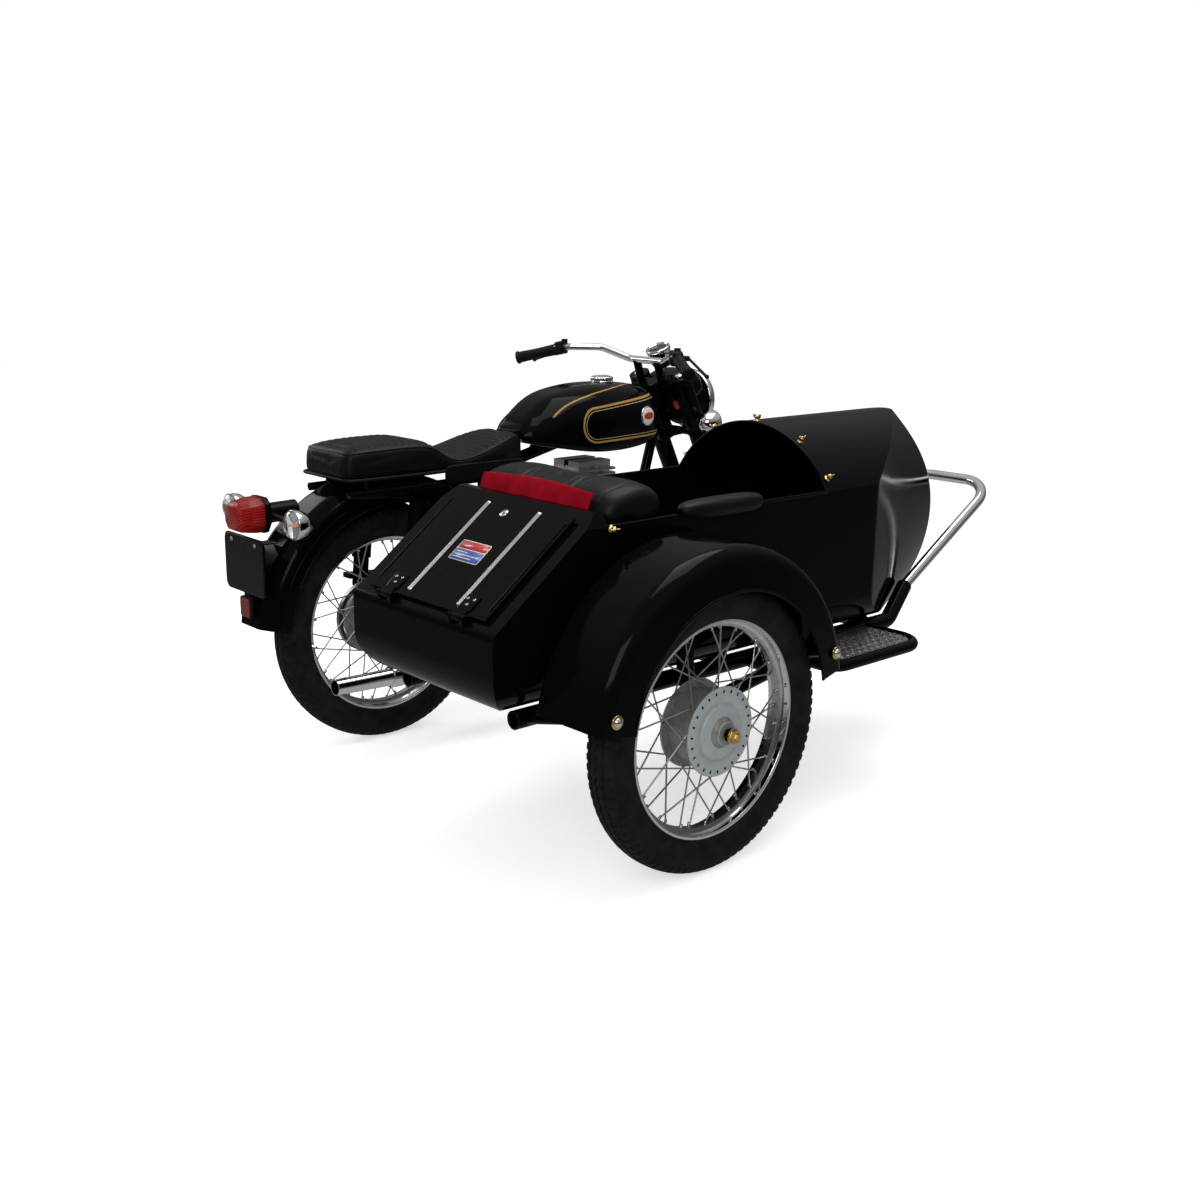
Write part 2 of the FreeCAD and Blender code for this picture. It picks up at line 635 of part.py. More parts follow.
# ------------------------------------------------------------------ front end
def front_end():
    """Fork yokes and stem, fork legs, axle, mudguard, lamp, bar, controls and clock."""
    low, top = D.lower_yoke_up, D.upper_yoke_up
    back = -D.fork_offset
    stem = rod(fork_point(low - D.yoke_thick / 2, back), fork_point(top + D.yoke_thick / 2, back), D.stem_r)
    plates = []
    for up in (low, top):
        left = fork_point(up, 0, D.fork_half)
        right = fork_point(up, 0, -D.fork_half)
        plates.append(rod(fork_point(up, back / 2, D.fork_half), fork_point(up, back / 2, -D.fork_half), D.yoke_thick / 2))
        plates.append(rod(left, fork_point(up, back, 20), D.yoke_thick / 2))
        plates.append(rod(right, fork_point(up, back, -20), D.yoke_thick / 2))
        plates.append(rod(fork_point(up - D.yoke_thick / 2, back), fork_point(up + D.yoke_thick / 2, back), 30))
        for side in (-1, 1):
            plates.append(rod(fork_point(up - D.yoke_thick / 2, 0, side * D.fork_half),
                              fork_point(up + D.yoke_thick / 2, 0, side * D.fork_half), D.shroud_r + 5))
    ears = []
    for side in (-1, 1):
        ears.append(rod(fork_point(low + 4, 0, side * D.fork_half), fork_point(top - 4, 0, side * D.fork_half),
                        D.shroud_r + 2))
        ears.append(rod(fork_point(low + 90, 10, side * (D.fork_half - 4)),
                        fork_point(low + 90, 62, side * (D.fork_half - 10)), 9))
    risers = []
    for side in (-1, 1):
        risers.append(rod(fork_point(top, back + 12, side * 46), (D.wheelbase - 367, side * 46, 1003), 13))
    node("fork_yokes", joined([stem] + plates + ears + risers))

    legs = []
    for side in (-1, 1):
        y = side * D.fork_half
        slider = rod(fork_point(-26, 0, y), fork_point(D.slider_up, 0, y), D.slider_r)
        tube = rod(fork_point(D.slider_up - 20, 0, y), fork_point(low - D.yoke_thick / 2, 0, y), D.slider_r - 5)
        shroud = rod(fork_point(D.slider_up + 40, 0, y), fork_point(low - D.yoke_thick / 2, 0, y), D.shroud_r)
        drill = rod((D.wheelbase, y - side * 40, D.tyre_r), (D.wheelbase, y + side * 40, D.tyre_r), D.axle_r)
        legs.append(trimmed(joined([slider, tube, shroud]), drill))
    node("fork_legs", joined(legs))

    reach = D.fork_half + D.slider_r + 4
    node("front_axle", joined([
        rod((D.wheelbase, -reach, D.tyre_r), (D.wheelbase, reach, D.tyre_r), D.axle_r),
        hexagon((D.wheelbase, reach - 4, D.tyre_r), 1, 15, 12),
        hexagon((D.wheelbase, 4 - reach, D.tyre_r), -1, 15, 12),
    ]))

    # mudguard: a crowned section turned about the wheel's centre, with struts to the sliders
    wide = D.front_guard_w / 2
    crown, wall = D.front_guard_r, D.guard_wall
    section = [(-wide, crown - 46), (-wide, crown - 14, 12), (-wide + 26, crown, 24), (wide - 26, crown, 24),
               (wide, crown - 14, 12), (wide, crown - 46), (wide - wall, crown - 46),
               (wide - wall, crown - 14, 9), (wide - 26, crown - wall, 21), (26 - wide, crown - wall, 21),
               (wall - wide, crown - 14, 9), (wall - wide, crown - 46)]
    shell = revolved("YZ_Plane", section, "H_Axis", 150)
    put(shell, (D.wheelbase, 0, D.tyre_r), 0, -82, 0)
    struts = []
    reach = crown - 34
    for side in (-1, 1):
        foot = fork_point(36, -16, side * (D.fork_half - D.slider_r + 3))
        for angle in (-72, 56):
            rim = (D.wheelbase + reach * sin(angle), side * (wide + 2), D.tyre_r + reach * cos(angle))
            struts.append(rod(foot, rim, 5))
        struts.append(rod(fork_point(D.slider_up + 10, 0, side * (D.fork_half - D.slider_r + 8)),
                          fork_point(D.slider_up + 10, 0, side * (wide - 2)), 8))
    node("front_mudguard", joined([shell] + struts))

    # headlamp: a deep rounded shell behind a rim and a domed glass
    big = D.headlamp_r
    shell = revolved("XZ_Plane", [(-106, 0), (-106, big * 0.34, 20), (-66, big * 0.84, 40), (-14, big * 0.96),
                                  (-14, big), (0, big), (10, big * 0.86, 8), (16, 0)])
    node("headlamp", shell, (D.wheelbase - D.headlamp_back, 0, D.headlamp_up))

    # handlebar
    clamp, grip = D.wheelbase - 367, D.wheelbase - D.bar_back
    half = [(clamp, 0, 1003), (clamp, 74, 1003, 40), (clamp - 41, 168, D.bar_crest, 55),
            (grip + 92, 236, D.bar_crest, 60), (grip, D.bar_half, D.bar_up)]
    whole = [mirrored(point) for point in reversed(half)][:-1] + half[1:]
    tube_node("handlebar", [(whole, D.bar_r)])


def bar_controls():
    """Grips, lever clamps with mirror bosses, and the levers."""
    things = []
    for side in (-1, 1):
        tip = (D.wheelbase - D.bar_back, side * D.bar_half, D.bar_up)
        bend = (D.wheelbase - D.bar_back + 92, side * 236, D.bar_crest)
        run = [b - a for a, b in zip(tip, bend)]
        span = math.sqrt(sum(float(part) ** 2 for part in run))

        def along(distance, ahead=0.0, up=0.0):
            share = distance / span
            return (tip[0] + run[0] * share + ahead, tip[1] + run[1] * share, tip[2] + run[2] * share + up)

        grip = rod(along(-3), along(D.grip_len), D.grip_r)
        perch = rod(along(D.grip_len), along(D.grip_len + 38), D.grip_r + 3)
        arm = rod(along(D.grip_len + 22, 8, 2), along(D.grip_len + 10, 46, 2), 8)
        lever = rod(along(D.grip_len + 14, 46, 2), along(-2, 74, -8), 4)
        ball = DOC.addObject("Part::Sphere", "ball")
        ball.Radius = 7
        put(ball, along(-4, 74, -8))
        boss = rod(along(D.grip_len + 30, 4, 10), along(D.grip_len + 30, 4, 10 + D.boss_tall), 10)
        hole = rod(along(D.grip_len + 30, 4, 14), along(D.grip_len + 30, 4, 11 + D.boss_tall), D.mirror_hole_r)
        bore = rod(along(-1), along(D.grip_len + 60), D.bar_r)
        things.append(trimmed(trimmed(joined([grip, perch, arm, lever, ball, boss]), hole), bore))
    node("bar_controls", joined(things))


def clock():
    """The speedometer: a round case tilted to the rider, on the upper yoke."""
    case = revolved("XZ_Plane", [(0, 0), (28, 0), (37, 26, 4), (37, 58, 6), (0, 58)], "V_Axis")
    centre = D.wheelbase - 296
    put(case, (centre, 0, 985), 0, -24, 0)
    neck = rod(fork_point(D.upper_yoke_up, 4), (centre, 0, 990), 12)
    node("speedometer", joined([case, neck]))


def winkers(label, ahead, half, up, root, facing):
    """A pair of bullet indicators on stems; facing is 1 for lenses that look forward, else -1."""
    things = []
    for side in (-1, 1):
        r = D.winker_r
        bullet = revolved("XZ_Plane", [(-46, 0), (-46, 6), (-30, r * 0.7, 16), (-2, r), (8, r), (8, r * 0.8),
                                       (16, r * 0.6, 8), (16, 0)])
        put(bullet, (ahead, side * half, up), 0 if facing > 0 else 180, 0, 0)
        things.append(bullet)
        things.append(rod((ahead - facing * 14, side * root, up), (ahead - facing * 14, side * (half - 20), up), 8))
    node(label, joined(things))


# ------------------------------------------------------------------ frame and rear end
def frame():
    """Head tube, backbone, down tube, seat tubes, seat rails, stays and lugs."""
    low, top = D.lower_yoke_up + D.yoke_thick / 2 + D.head_gap, D.upper_yoke_up - D.yoke_thick / 2 - D.head_gap
    back = -D.fork_offset
    head = rod(fork_point(low, back), fork_point(top, back), D.head_r)
    bore = rod(fork_point(low - 1, back), fork_point(top + 1, back), D.stem_r + 6)
    tube = D.frame_tube_r
    neck_low = fork_point(low + 38, back - 22)
    neck_high = fork_point(low + 60, back - 16)
    joint = (360, 0, 710)
    foot = (925, 0, 372)
    parts = [
        rod(neck_high, (700, 0, 790), tube + 2),
        rod((700, 0, 790), joint, tube + 2),
        rod(neck_low, foot, tube),
        rod(neck_low, (820, 0, 770), tube - 3),
    ]
    rail = D.rail_tube_r
    pivot = (D.pivot_ahead, 0, D.pivot_up)
    for side in (-1, 1):
        y = side * D.rail_half
        hip = (300, y, 712)
        tail = (-160, y, 706)
        parts += [
            rod(joint, hip, rail), rod(hip, tail, rail),
            rod(hip, (D.pivot_ahead - 20, side * 44, D.pivot_up + 10), rail),
            rod(tail, (60, y, 690), rail - 1),
            rod((D.pivot_ahead - 60, side * 60, D.pivot_up + 120), (20, y, 700), rail - 1),
            rod((D.pivot_ahead, side * 44, D.pivot_up), (D.pivot_ahead, side * 70, D.pivot_up), 28),
            rod((40, y, 700), (40, side * (D.shock_half + 14), 700), 10),
            rod((-100, y, 706), (-100, y, D.seat_base - 1), 8),
            rod((270, y, 712), (270, y, D.seat_base - 1), 8),
        ]
        parts.append(rod((D.stand_ahead, side * 56, D.stand_up), (D.stand_ahead, side * 70, D.stand_up), 18))
        parts.append(rod((D.pivot_ahead, side * 46, D.pivot_up), (D.stand_ahead, side * 46, D.stand_up), 13))
        parts.append(rod((D.stand_ahead, side * 40, D.stand_up), (D.stand_ahead, side * 60, D.stand_up), 16))
    parts.append(rod((D.stand_ahead, -D.stand_half - 18, D.stand_up), (D.stand_ahead, D.stand_half + 18, D.stand_up),
                     D.axle_r))
    parts.append(rod((D.pivot_ahead, -D.arm_half - 26, D.pivot_up), (D.pivot_ahead, D.arm_half + 26, D.pivot_up),
                     D.axle_r))
    for x, z in ((560, 762), (900, 770)):
        parts.append(rod((x, -32, z), (x, 32, z), 8))
    parts.append(block((D.pivot_ahead, -24, D.pivot_up - 25), (33, 48, 50)))
    parts.append(block((872, -24, 352), (48, 48, 40)))
    parts.append(rod((905, -66, 372), (905, 66, 372), 14))
    parts.append(rod(foot, (905, 0, 372), 20))
    node("bike_frame", trimmed(joined([head] + parts), bore))


def rear_end():
    """Swinging arm, axle, shock absorbers, chain, chain guard and mudguard."""
    arms = []
    for side in (-1, 1):
        y = side * D.arm_half
        arms.append(rod((D.pivot_ahead, y, D.pivot_up), (12, y, D.tyre_r), D.arm_r))
        arms.append(rod((D.pivot_ahead, y - side * 26, D.pivot_up), (D.pivot_ahead, y + side * 20, D.pivot_up), 24))
        arms.append(rod((0, y - side * 8, D.tyre_r), (0, y + side * 8, D.tyre_r), 26))
        arms.append(rod((8, y, D.tyre_r + 34), (8, y + side * 36, D.tyre_r + 34), 9))
        arms.append(rod((8, y, D.tyre_r + 34), (20, y, D.tyre_r), 9))
    arms.append(rod((360, -D.arm_half, 342), (360, D.arm_half, 342), D.arm_r - 2))
    drills = [rod((D.pivot_ahead, -D.arm_half - 40, D.pivot_up), (D.pivot_ahead, D.arm_half + 40, D.pivot_up),
                  D.axle_r),
              rod((0, -D.arm_half - 40, D.tyre_r), (0, D.arm_half + 40, D.tyre_r), D.axle_r)]
    node("swingarm", trimmed(joined(arms), joined(drills)))

    reach = D.arm_half + D.arm_r + 6
    node("rear_axle", joined([
        rod((0, -reach, D.tyre_r), (0, reach, D.tyre_r), D.axle_r),
        hexagon((0, reach - 4, D.tyre_r), 1, 15, 12),
        hexagon((0, 4 - reach, D.tyre_r), -1, 15, 12),
    ]))

    shocks = []
    for side in (-1, 1):
        y = side * D.shock_half
        low, high = (8, y, D.tyre_r + 34), (40, y, 700)
        share = [b - a for a, b in zip(low, high)]

        def at(part):
            return tuple(a + b * part for a, b in zip(low, share))

        unit = joined([rod(at(0.0), at(1.0), 8), rod(at(0.12), at(0.42), D.shock_r - 5),
                       rod(at(0.36), at(0.94), D.shock_r),
                       rod((8, y - 9, D.tyre_r + 34), (8, y + 9, D.tyre_r + 34), 15),
                       rod((40, y - 9, 700), (40, y + 9, 700), 16)])
        pins = joined([rod((8, y - 40, D.tyre_r + 34), (8, y + 40, D.tyre_r + 34), 9),
                       rod((40, y - 40, 700), (40, y + 40, 700), 10)])
        shocks.append(trimmed(unit, pins))
    node("rear_shocks", joined(shocks))

    # chain: the loop round two sprockets, as the outline of its plates
    gap, deep = float(D.chain_gap), float(D.chain_deep)
    rear, small = (0.0, float(D.tyre_r)), (float(D.gearbox_ahead), float(D.gearbox_up))
    node("drive_chain", shaped(chain_loop(rear, float(D.sprocket_r) + gap, small, float(D.small_sprocket_r) + gap,
                                          deep, float(D.chain_w), float(D.chain_y))))
    guard = padded("XZ_Plane", [(-70, D.tyre_r + D.sprocket_r + 34), (366, D.gearbox_up + 66),
                                (366, D.gearbox_up + 78), (-70, D.tyre_r + D.sprocket_r + 48)],
                   D.chain_w + 20, -D.chain_y)
    bracket = rod((150, D.chain_y + 15, D.pivot_up + 86), (150, D.arm_half - 2, D.pivot_up - 6), 5)
    node("chain_guard", joined([guard, bracket]))

    # rear mudguard: a deep crowned section turned about a centre above the axle
    wide, crown, wall = D.guard_w / 2, D.guard_r, D.guard_wall
    section = [(-wide, crown - 74), (-wide, crown - 22, 16), (-wide + 34, crown, 34), (wide - 34, crown, 34),
               (wide, crown - 22, 16), (wide, crown - 74), (wide - wall, crown - 74),
               (wide - wall, crown - 22, 13), (wide - 34, crown - wall, 31), (34 - wide, crown - wall, 31),
               (wall - wide, crown - 22, 13), (wall - wide, crown - 74)]
    shell = revolved("YZ_Plane", section, "H_Axis", 140)
    turned_node("rear_mudguard", shell, (0, 0, D.guard_lift), 0, -84, 0)


def chain_loop(rear, rear_r, small, small_r, deep, wide, y):
    """A band of chain: the outer tangent loop of two circles less the same loop deep within it."""
    def loop(extra):
        r1, r2 = rear_r + extra, small_r + extra
        dx, dz = small[0] - rear[0], small[1] - rear[1]
        span = math.hypot(dx, dz)
        tilt = math.atan2(dz, dx)
        lean = math.acos((r1 - r2) / span)
        spots = []
        for sign in (1, -1):
            angle = tilt + sign * lean
            spots.append([FreeCAD.Vector(c[0] + r * math.cos(angle), y - wide / 2, c[1] + r * math.sin(angle))
                          for c, r in ((rear, r1), (small, r2))])
        far = FreeCAD.Vector(small[0] + r2 * math.cos(tilt), y - wide / 2, small[1] + r2 * math.sin(tilt))
        near = FreeCAD.Vector(rear[0] - r1 * math.cos(tilt), y - wide / 2, rear[1] - r1 * math.sin(tilt))
        wire = Part.Wire([Part.makeLine(spots[0][0], spots[0][1]), Part.Arc(spots[0][1], far, spots[1][1]).toShape(),
                          Part.makeLine(spots[1][1], spots[1][0]), Part.Arc(spots[1][0], near, spots[0][0]).toShape()])
        return Part.Face(wire).extrude(FreeCAD.Vector(0, wide, 0))
    return loop(deep).cut(loop(0.0))


# ------------------------------------------------------------------ engine and exhaust
def engine():
    """Crankcase with gearbox and side covers; finned barrel and head with carburettor."""
    case = padded("XZ_Plane", [(884, 330, 40), (850, 452, 40), (805, 476, 8), (640, 476, 8), (575, 452, 40),
                               (466, 446, 30), (462, 300, 40), (560, 222, 40), (800, 214, 60)], D.case_half * 2)
    primary = padded("XZ_Plane", [(790, 280, 68), (790, 432, 68), (640, 424, 60), (470, 440, 60), (470, 292, 60),
                                  (640, 300, 60)], D.primary_w, -D.case_half - D.primary_w / 2)
    timing = padded("XZ_Plane", [(800, 268, 60), (812, 420, 60), (690, 446, 40), (500, 436, 50), (500, 300, 50),
                                 (660, 262, 50)], D.timing_w, D.case_half + D.timing_w / 2)
    # the sprocket's recess behind the primary cover, open to the rear
    wide, reach = D.chain_w / 2 + 4, D.small_sprocket_r + D.chain_gap + D.chain_deep + 8
    recess = block((D.gearbox_ahead - 160, D.chain_y - wide, D.gearbox_up - reach), (160 + reach, wide * 2, reach * 2 + 8))
    shaft = rod((D.gearbox_ahead, D.chain_y - wide, D.gearbox_up), (D.gearbox_ahead, D.chain_y + wide, D.gearbox_up), 14)
    sprocket = rod((D.gearbox_ahead, D.chain_y - 3, D.gearbox_up), (D.gearbox_ahead, D.chain_y + 3, D.gearbox_up),
                   D.small_sprocket_r)
    node("engine_cases", joined([trimmed(joined([case, primary, timing]), recess), shaft, sprocket]))

    x = D.barrel_ahead
    base, step, thick = 476, D.fin_step, D.fin_thick
    core = 56
    comb = [(0, base), (core + 14, base), (core + 14, base + 8), (core, base + 8)]
    count = int(float(D.barrel_fins))
    for number in range(count):
        level = base + 14 + step * number
        comb += [(core, level), (D.fin_r, level), (D.fin_r, level + thick), (core, level + thick)]
    head_base = base + 14 + step * count
    comb += [(core, head_base), (0, head_base)]
    barrel = revolved("XZ_Plane", comb, "V_Axis")
    put(barrel, (x, 0, 0))
    long, wide = D.head_len / 2, D.head_wide / 2
    fins = []
    for number in range(int(float(D.head_fins))):
        level = head_base + step * number
        plate = padded("XY_Plane", [(long, wide, 26), (-long, wide, 26), (-long, -wide, 26), (long, -wide, 26)],
                       thick, level + thick / 2)
        put(plate, (x, 0, 0))
        fins.append(plate)
    head_top = head_base + step * int(float(D.head_fins))
    core_block = rod((x, 0, head_base), (x, 0, head_top), core + 6)
    boxes = [block((x - 64, side * 34 - 24, head_top - 10), (128, 48, 26)) for side in (-1, 1)]
    inlet = rod((x - 60, 0, head_base + 34), (x - 150, 0, head_base + 26), 20)
    carb = rod((x - 124, 0, head_base + 74), (x - 124, 0, head_base - 34), 22)
    mouth = rod((x - 150, 0, head_base + 26), (x - 190, 0, head_base + 22), 27)
    port = rod((x + 50, -34, head_base + 26), (x + 92, -40, head_base + 24), 27)
    node("engine_top_end", joined([barrel, core_block, inlet, carb, mouth, port] + fins + boxes))

    y = -D.silencer_y
    start = (x + 92, -40, head_base + 24)
    pipe = [start, (930, -70, head_base + 8, 60), (888, -128, 300, 120), (800, -186, 216, 90), (520, y, 214)]
    header = swept(pipe, D.pipe_r)
    axis_up = FreeCAD.Vector(0, 0, 1)
    head_end = FreeCAD.Vector(540, float(y), 214)
    tip = FreeCAD.Vector(-281, float(y), 236)
    line = tip - head_end
    stations = ((0.0, D.pipe_r), (0.16, D.silencer_r), (0.52, D.silencer_r), (0.66, D.tail_pipe_r + 2),
                (0.755, D.tail_pipe_r + 1), (0.757, D.tail_pipe_r + 6), (0.795, D.tail_pipe_r + 6),
                (0.797, D.tail_pipe_r), (1.0, D.tail_pipe_r - 2))
    outer = [(share * line.Length, radius) for share, radius in stations]
    profile = [(0, 0)] + outer + [(line.Length, D.tail_pipe_r - 4), (line.Length * 0.8, D.tail_pipe_r - 4),
                                  (line.Length * 0.8, 0)]
    wire = flat_wire(profile, lambda u, v: FreeCAD.Vector(v, 0, u))
    can = Part.Face(wire).revolve(FreeCAD.Vector(0, 0, 0), axis_up, 360)
    can.Placement = FreeCAD.Placement(head_end, FreeCAD.Rotation(axis_up, line))
    node("exhaust", shaped(header.fuse(can)))


# ------------------------------------------------------------------ tank, seat and bodywork of the bike
def loft(sections, place):
    """A solid through closed rounded outlines, each (station, corners)."""
    wires = [flat_wire(corners, lambda u, v, s=station: place(s, u, v)) for station, corners in sections]
    return Part.makeLoft(wires, True, False)


def fuel_tank():
    """A teardrop tank: rounded sections from the narrow rear to the shoulders at the headstock."""
    long = float(D.tank_front - D.tank_rear)
    high = float(D.tank_top - D.tank_floor)
    # share of the length, share of the half width, lower edge and top as shares of the height
    rows = ((0.0, 0.42, 0.30, 0.52), (0.10, 0.62, 0.14, 0.68), (0.30, 0.90, 0.03, 0.87), (0.55, 1.0, 0.0, 0.98),
            (0.80, 0.97, 0.02, 1.0), (1.0, 0.70, 0.16, 0.92))
    sections = []
    for share, width, low, top in rows:
        half = float(D.tank_half) * width
        bottom = float(D.tank_floor) + high * low
        roof = float(D.tank_floor) + high * top
        round_top = min(half, roof - bottom) * 0.62
        round_low = min(half, roof - bottom) * 0.26
        sections.append((float(D.tank_rear) + long * share,
                         [(half, bottom, round_low), (half, roof, round_top), (-half, roof, round_top),
                          (-half, bottom, round_low)]))
    solid = loft(sections, lambda s, u, v: FreeCAD.Vector(s, u, v))
    tunnel = Part.makeBox(long + 80, 64, 150, FreeCAD.Vector(float(D.tank_rear) - 40, -32, float(D.tank_floor) - 40))
    low = vector(fork_point(D.lower_yoke_up - 60, -D.fork_offset - 52))
    wall = Part.makeBox(200, 400, 500, FreeCAD.Vector(0, -200, 0))
    wall.Placement = FreeCAD.Placement(low, FreeCAD.Rotation(FreeCAD.Vector(0, 1, 0), -float(D.rake)))
    node("fuel_tank", shaped(solid.cut(tunnel).cut(wall)))
    cap = revolved("XZ_Plane", [(0, 0), (D.cap_r - 4, 0), (D.cap_r - 4, 8), (D.cap_r, 8, 1), (D.cap_r, 22, 4), (0, 24)],
                   "V_Axis")
    node("fuel_cap", cap, (812, 0, D.tank_top - 4))


def bike_seat():
    """A stepped dual seat: a raised pillion pad behind a dished rider's pad, on one base."""
    rear, base = -D.seat_rear, D.seat_base
    corners = [(rear + 10, base, 10), (rear, D.pillion_top - 18, 14), (rear + 30, D.pillion_top, 20),
               (92, D.pillion_top + 4, 16), (128, D.rider_top + 6, 24), (210, D.rider_top, 60),
               (372, D.rider_top + 40, 60), (452, D.rider_top + 52, 6), (440, base, 10)]
    node("bike_seat", padded("XZ_Plane", corners, D.seat_w))


def small_bodywork():
    """Side boxes, number plate, tail lamp and foot controls."""
    boxes = []
    for side in (-1, 1):
        boxes.append(padded("XZ_Plane", [(245, 470, 40), (405, 500, 30), (392, 652, 30), (230, 652, 40)], 40,
                            side * 130))
        boxes.append(rod((320, side * 84, 600), (320, side * 114, 600), 9))
    node("side_boxes", joined(boxes))

    half, low = D.plate_w / 2, D.plate_base
    plate = padded("YZ_Plane", [(half, low, 18), (half, low + D.plate_high, 18), (-half, low + D.plate_high, 18),
                                (-half, low, 18)], 3, -D.plate_back)
    for side in (-1, 1):
        y, z, r = side * D.plate_bolt_gap / 2, low + D.plate_high - 30, D.plate_bolt_r
        hole = rod((-D.plate_back - 10, y, z), (-D.plate_back + 10, y, z), r)
        plate = trimmed(plate, hole)
    back = -D.plate_back + 1
    stays = [block((back, -22, 590), (78, 44, 3)), block((back, -22, low + 14), (24, 44, 3)),
             rod((-D.tail_reach + 96, 0, D.tail_lamp_up), (-262, 0, D.tail_lamp_up + 2), 26)]
    reflector_arm = block((-D.plate_back - 1, -12, 440), (3, 24, 44))
    node("tail_bracket", joined([plate, reflector_arm] + stays))

    r = D.tail_lamp_r
    front = -D.tail_reach
    lens = revolved("XZ_Plane", [(0, 0), (0, r * 0.62), (14, r * 0.9), (52, r), (60, r * 0.96), (96, r * 0.8),
                                 (96, 0)])
    put(lens, (front, 0, D.tail_lamp_up))
    reflector = block((-D.plate_back - 11, -26, 404), (10, 52, 54))
    node("tail_lamp", joined([lens, reflector]))

    things = []
    for side in (-1, 1):
        things.append(rod((560, side * 100, 300), (560, side * 218, 300), 12))
    things.append(rod((600, -105, 330), (690, -128, 262), 6))
    things.append(rod((690, -128, 262), (690, -186, 262), 6))
    things.append(rod((560, 116, 330), (650, 140, 330), 6))
    things.append(rod((650, 140, 330), (650, 176, 330), 8))
    things.append(rod((505, -98, 390), (505, -132, 390), 10))
    things.append(rod((505, -132, 390), (470, -136, 560), 7))
    things.append(rod((470, -136, 560), (480, -196, 572), 7))
    node("foot_controls", joined(things))


def centre_stand():
    """The centre stand, folded up under the swinging arm: two legs on one pivot with a cross tube."""
    x, z, r = D.stand_ahead, D.stand_up, D.stand_r
    things = []
    for side in (-1, 1):
        y = side * D.stand_half
        foot = (x - D.stand_leg, y, z - 4)
        things.append(rod((x, y - side * 12, z), (x, y + side * 12, z), r + 7))
        things.append(rod((x, y, z), foot, r))
        things.append(rod(foot, (x - D.stand_leg - 26, y + side * 4, z - 26), r))
        things.append(rod((x - D.stand_leg + 10, y, z - 4), (x - D.stand_leg - 26, y + side * 4, z - 26), r))
    things.append(rod((x - 66, -D.stand_half, z - 2), (x - 66, D.stand_half, z - 2), r - 2))
    drill = rod((x, -D.stand_half - 40, z), (x, D.stand_half + 40, z), D.axle_r + D.axle_play)
    node("centre_stand", trimmed(joined(things), drill))


# ------------------------------------------------------------------ sidecar chassis and wheel carrier
def sidecar_chassis():
    """Two long tubes, turned up at the front to carry the bumper, with cross tubes and body mounts."""
    z, r = D.chassis_up, D.chassis_r
    slope = D.bumper_slope
    runs = []
    for y, root_y in ((-D.rail_outer_y, -D.body_y - D.bumper_half), (-D.rail_inner_y, -D.body_y + D.bumper_half)):
        root = (D.bumper_root, root_y, bumper_height(D.bumper_root))
        elbow = (D.kick_start, y, z, 60)
        runs.append(([(-D.chassis_rear, y, z), elbow, root], r))
    shapes = [swept(points, radius) for points, radius in runs]
    inner, outer = -float(D.rail_inner_y), -float(D.rail_outer_y)
    for x in (-155, 345, 905):
        shapes.append(Part.makeCylinder(float(r) - 4, inner - outer, FreeCAD.Vector(x, outer, float(z)),
                                        FreeCAD.Vector(0, 1, 0)))
    base = float(D.body_floor)
    for x in (-180, 320, 880):
        for y in (outer + 60, inner - 60):
            shapes.append(Part.makeBox(50, 50, base - float(z), FreeCAD.Vector(x, y - 25, float(z))))
    solid = shapes[0].multiFuse(shapes[1:])
    for y in (outer, inner):
        solid = solid.cut(Part.makeCylinder(float(D.socket_r), float(D.socket_deep),
                                            FreeCAD.Vector(-float(D.chassis_rear), y, float(z)),
                                            FreeCAD.Vector(1, 0, 0)))
    node("sidecar_chassis", shaped(solid))

    left, right = -D.body_y + D.bumper_half, -D.body_y - D.bumper_half
    hoop = [(D.bumper_root, right, bumper_height(D.bumper_root)),
            (D.bumper_front, right, bumper_height(D.bumper_front), D.bumper_bend),
            (D.bumper_front, left, bumper_height(D.bumper_front), D.bumper_bend),
            (D.bumper_root, left, bumper_height(D.bumper_root))]
    tube_node("bumper", [(hoop, D.bumper_r)])

    out = -D.step_out
    loop = [(D.step_rear, -D.rail_outer_y, z), (D.step_rear, out, z, 50), (D.step_front, out, z, D.step_bend),
            (D.step_front, -D.rail_outer_y, z)]
    ring = swept(loop, D.step_tube_r)
    tread = Part.makeBox(float(D.step_front - D.step_rear), float(D.step_out - D.rail_outer_y), 3,
                         FreeCAD.Vector(float(D.step_rear), float(out), float(z) + 5))
    chassis_tube = Part.makeCylinder(float(r), 900, FreeCAD.Vector(100, outer, float(z)), FreeCAD.Vector(1, 0, 0))
    node("step_plate", shaped(ring.fuse(tread).cut(chassis_tube)))

    struts = []
    links = (
        # on the bike: x, y, z; on the chassis's inner tube: x; height above the tube
        ((940, -66, 372), 940, 0), ((1010, -18, 640), 800, 10), ((D.pivot_ahead - 10, -52, D.pivot_up + 40), 200, 0),
        ((270, -104, 712), -60, 10),
    )
    for start, x, up in links:
        end = (x, -D.rail_inner_y + D.chassis_r + 2, z + up)
        struts.append(rod(start, end, 14))
    node("sidecar_struts", joined(struts))


def bumper_height(ahead):
    """Height of the bumper's plane at a distance ahead of the rear axle."""
    return D.chassis_up + 4 + (ahead - D.kick_start - 15) * tan(D.bumper_slope)


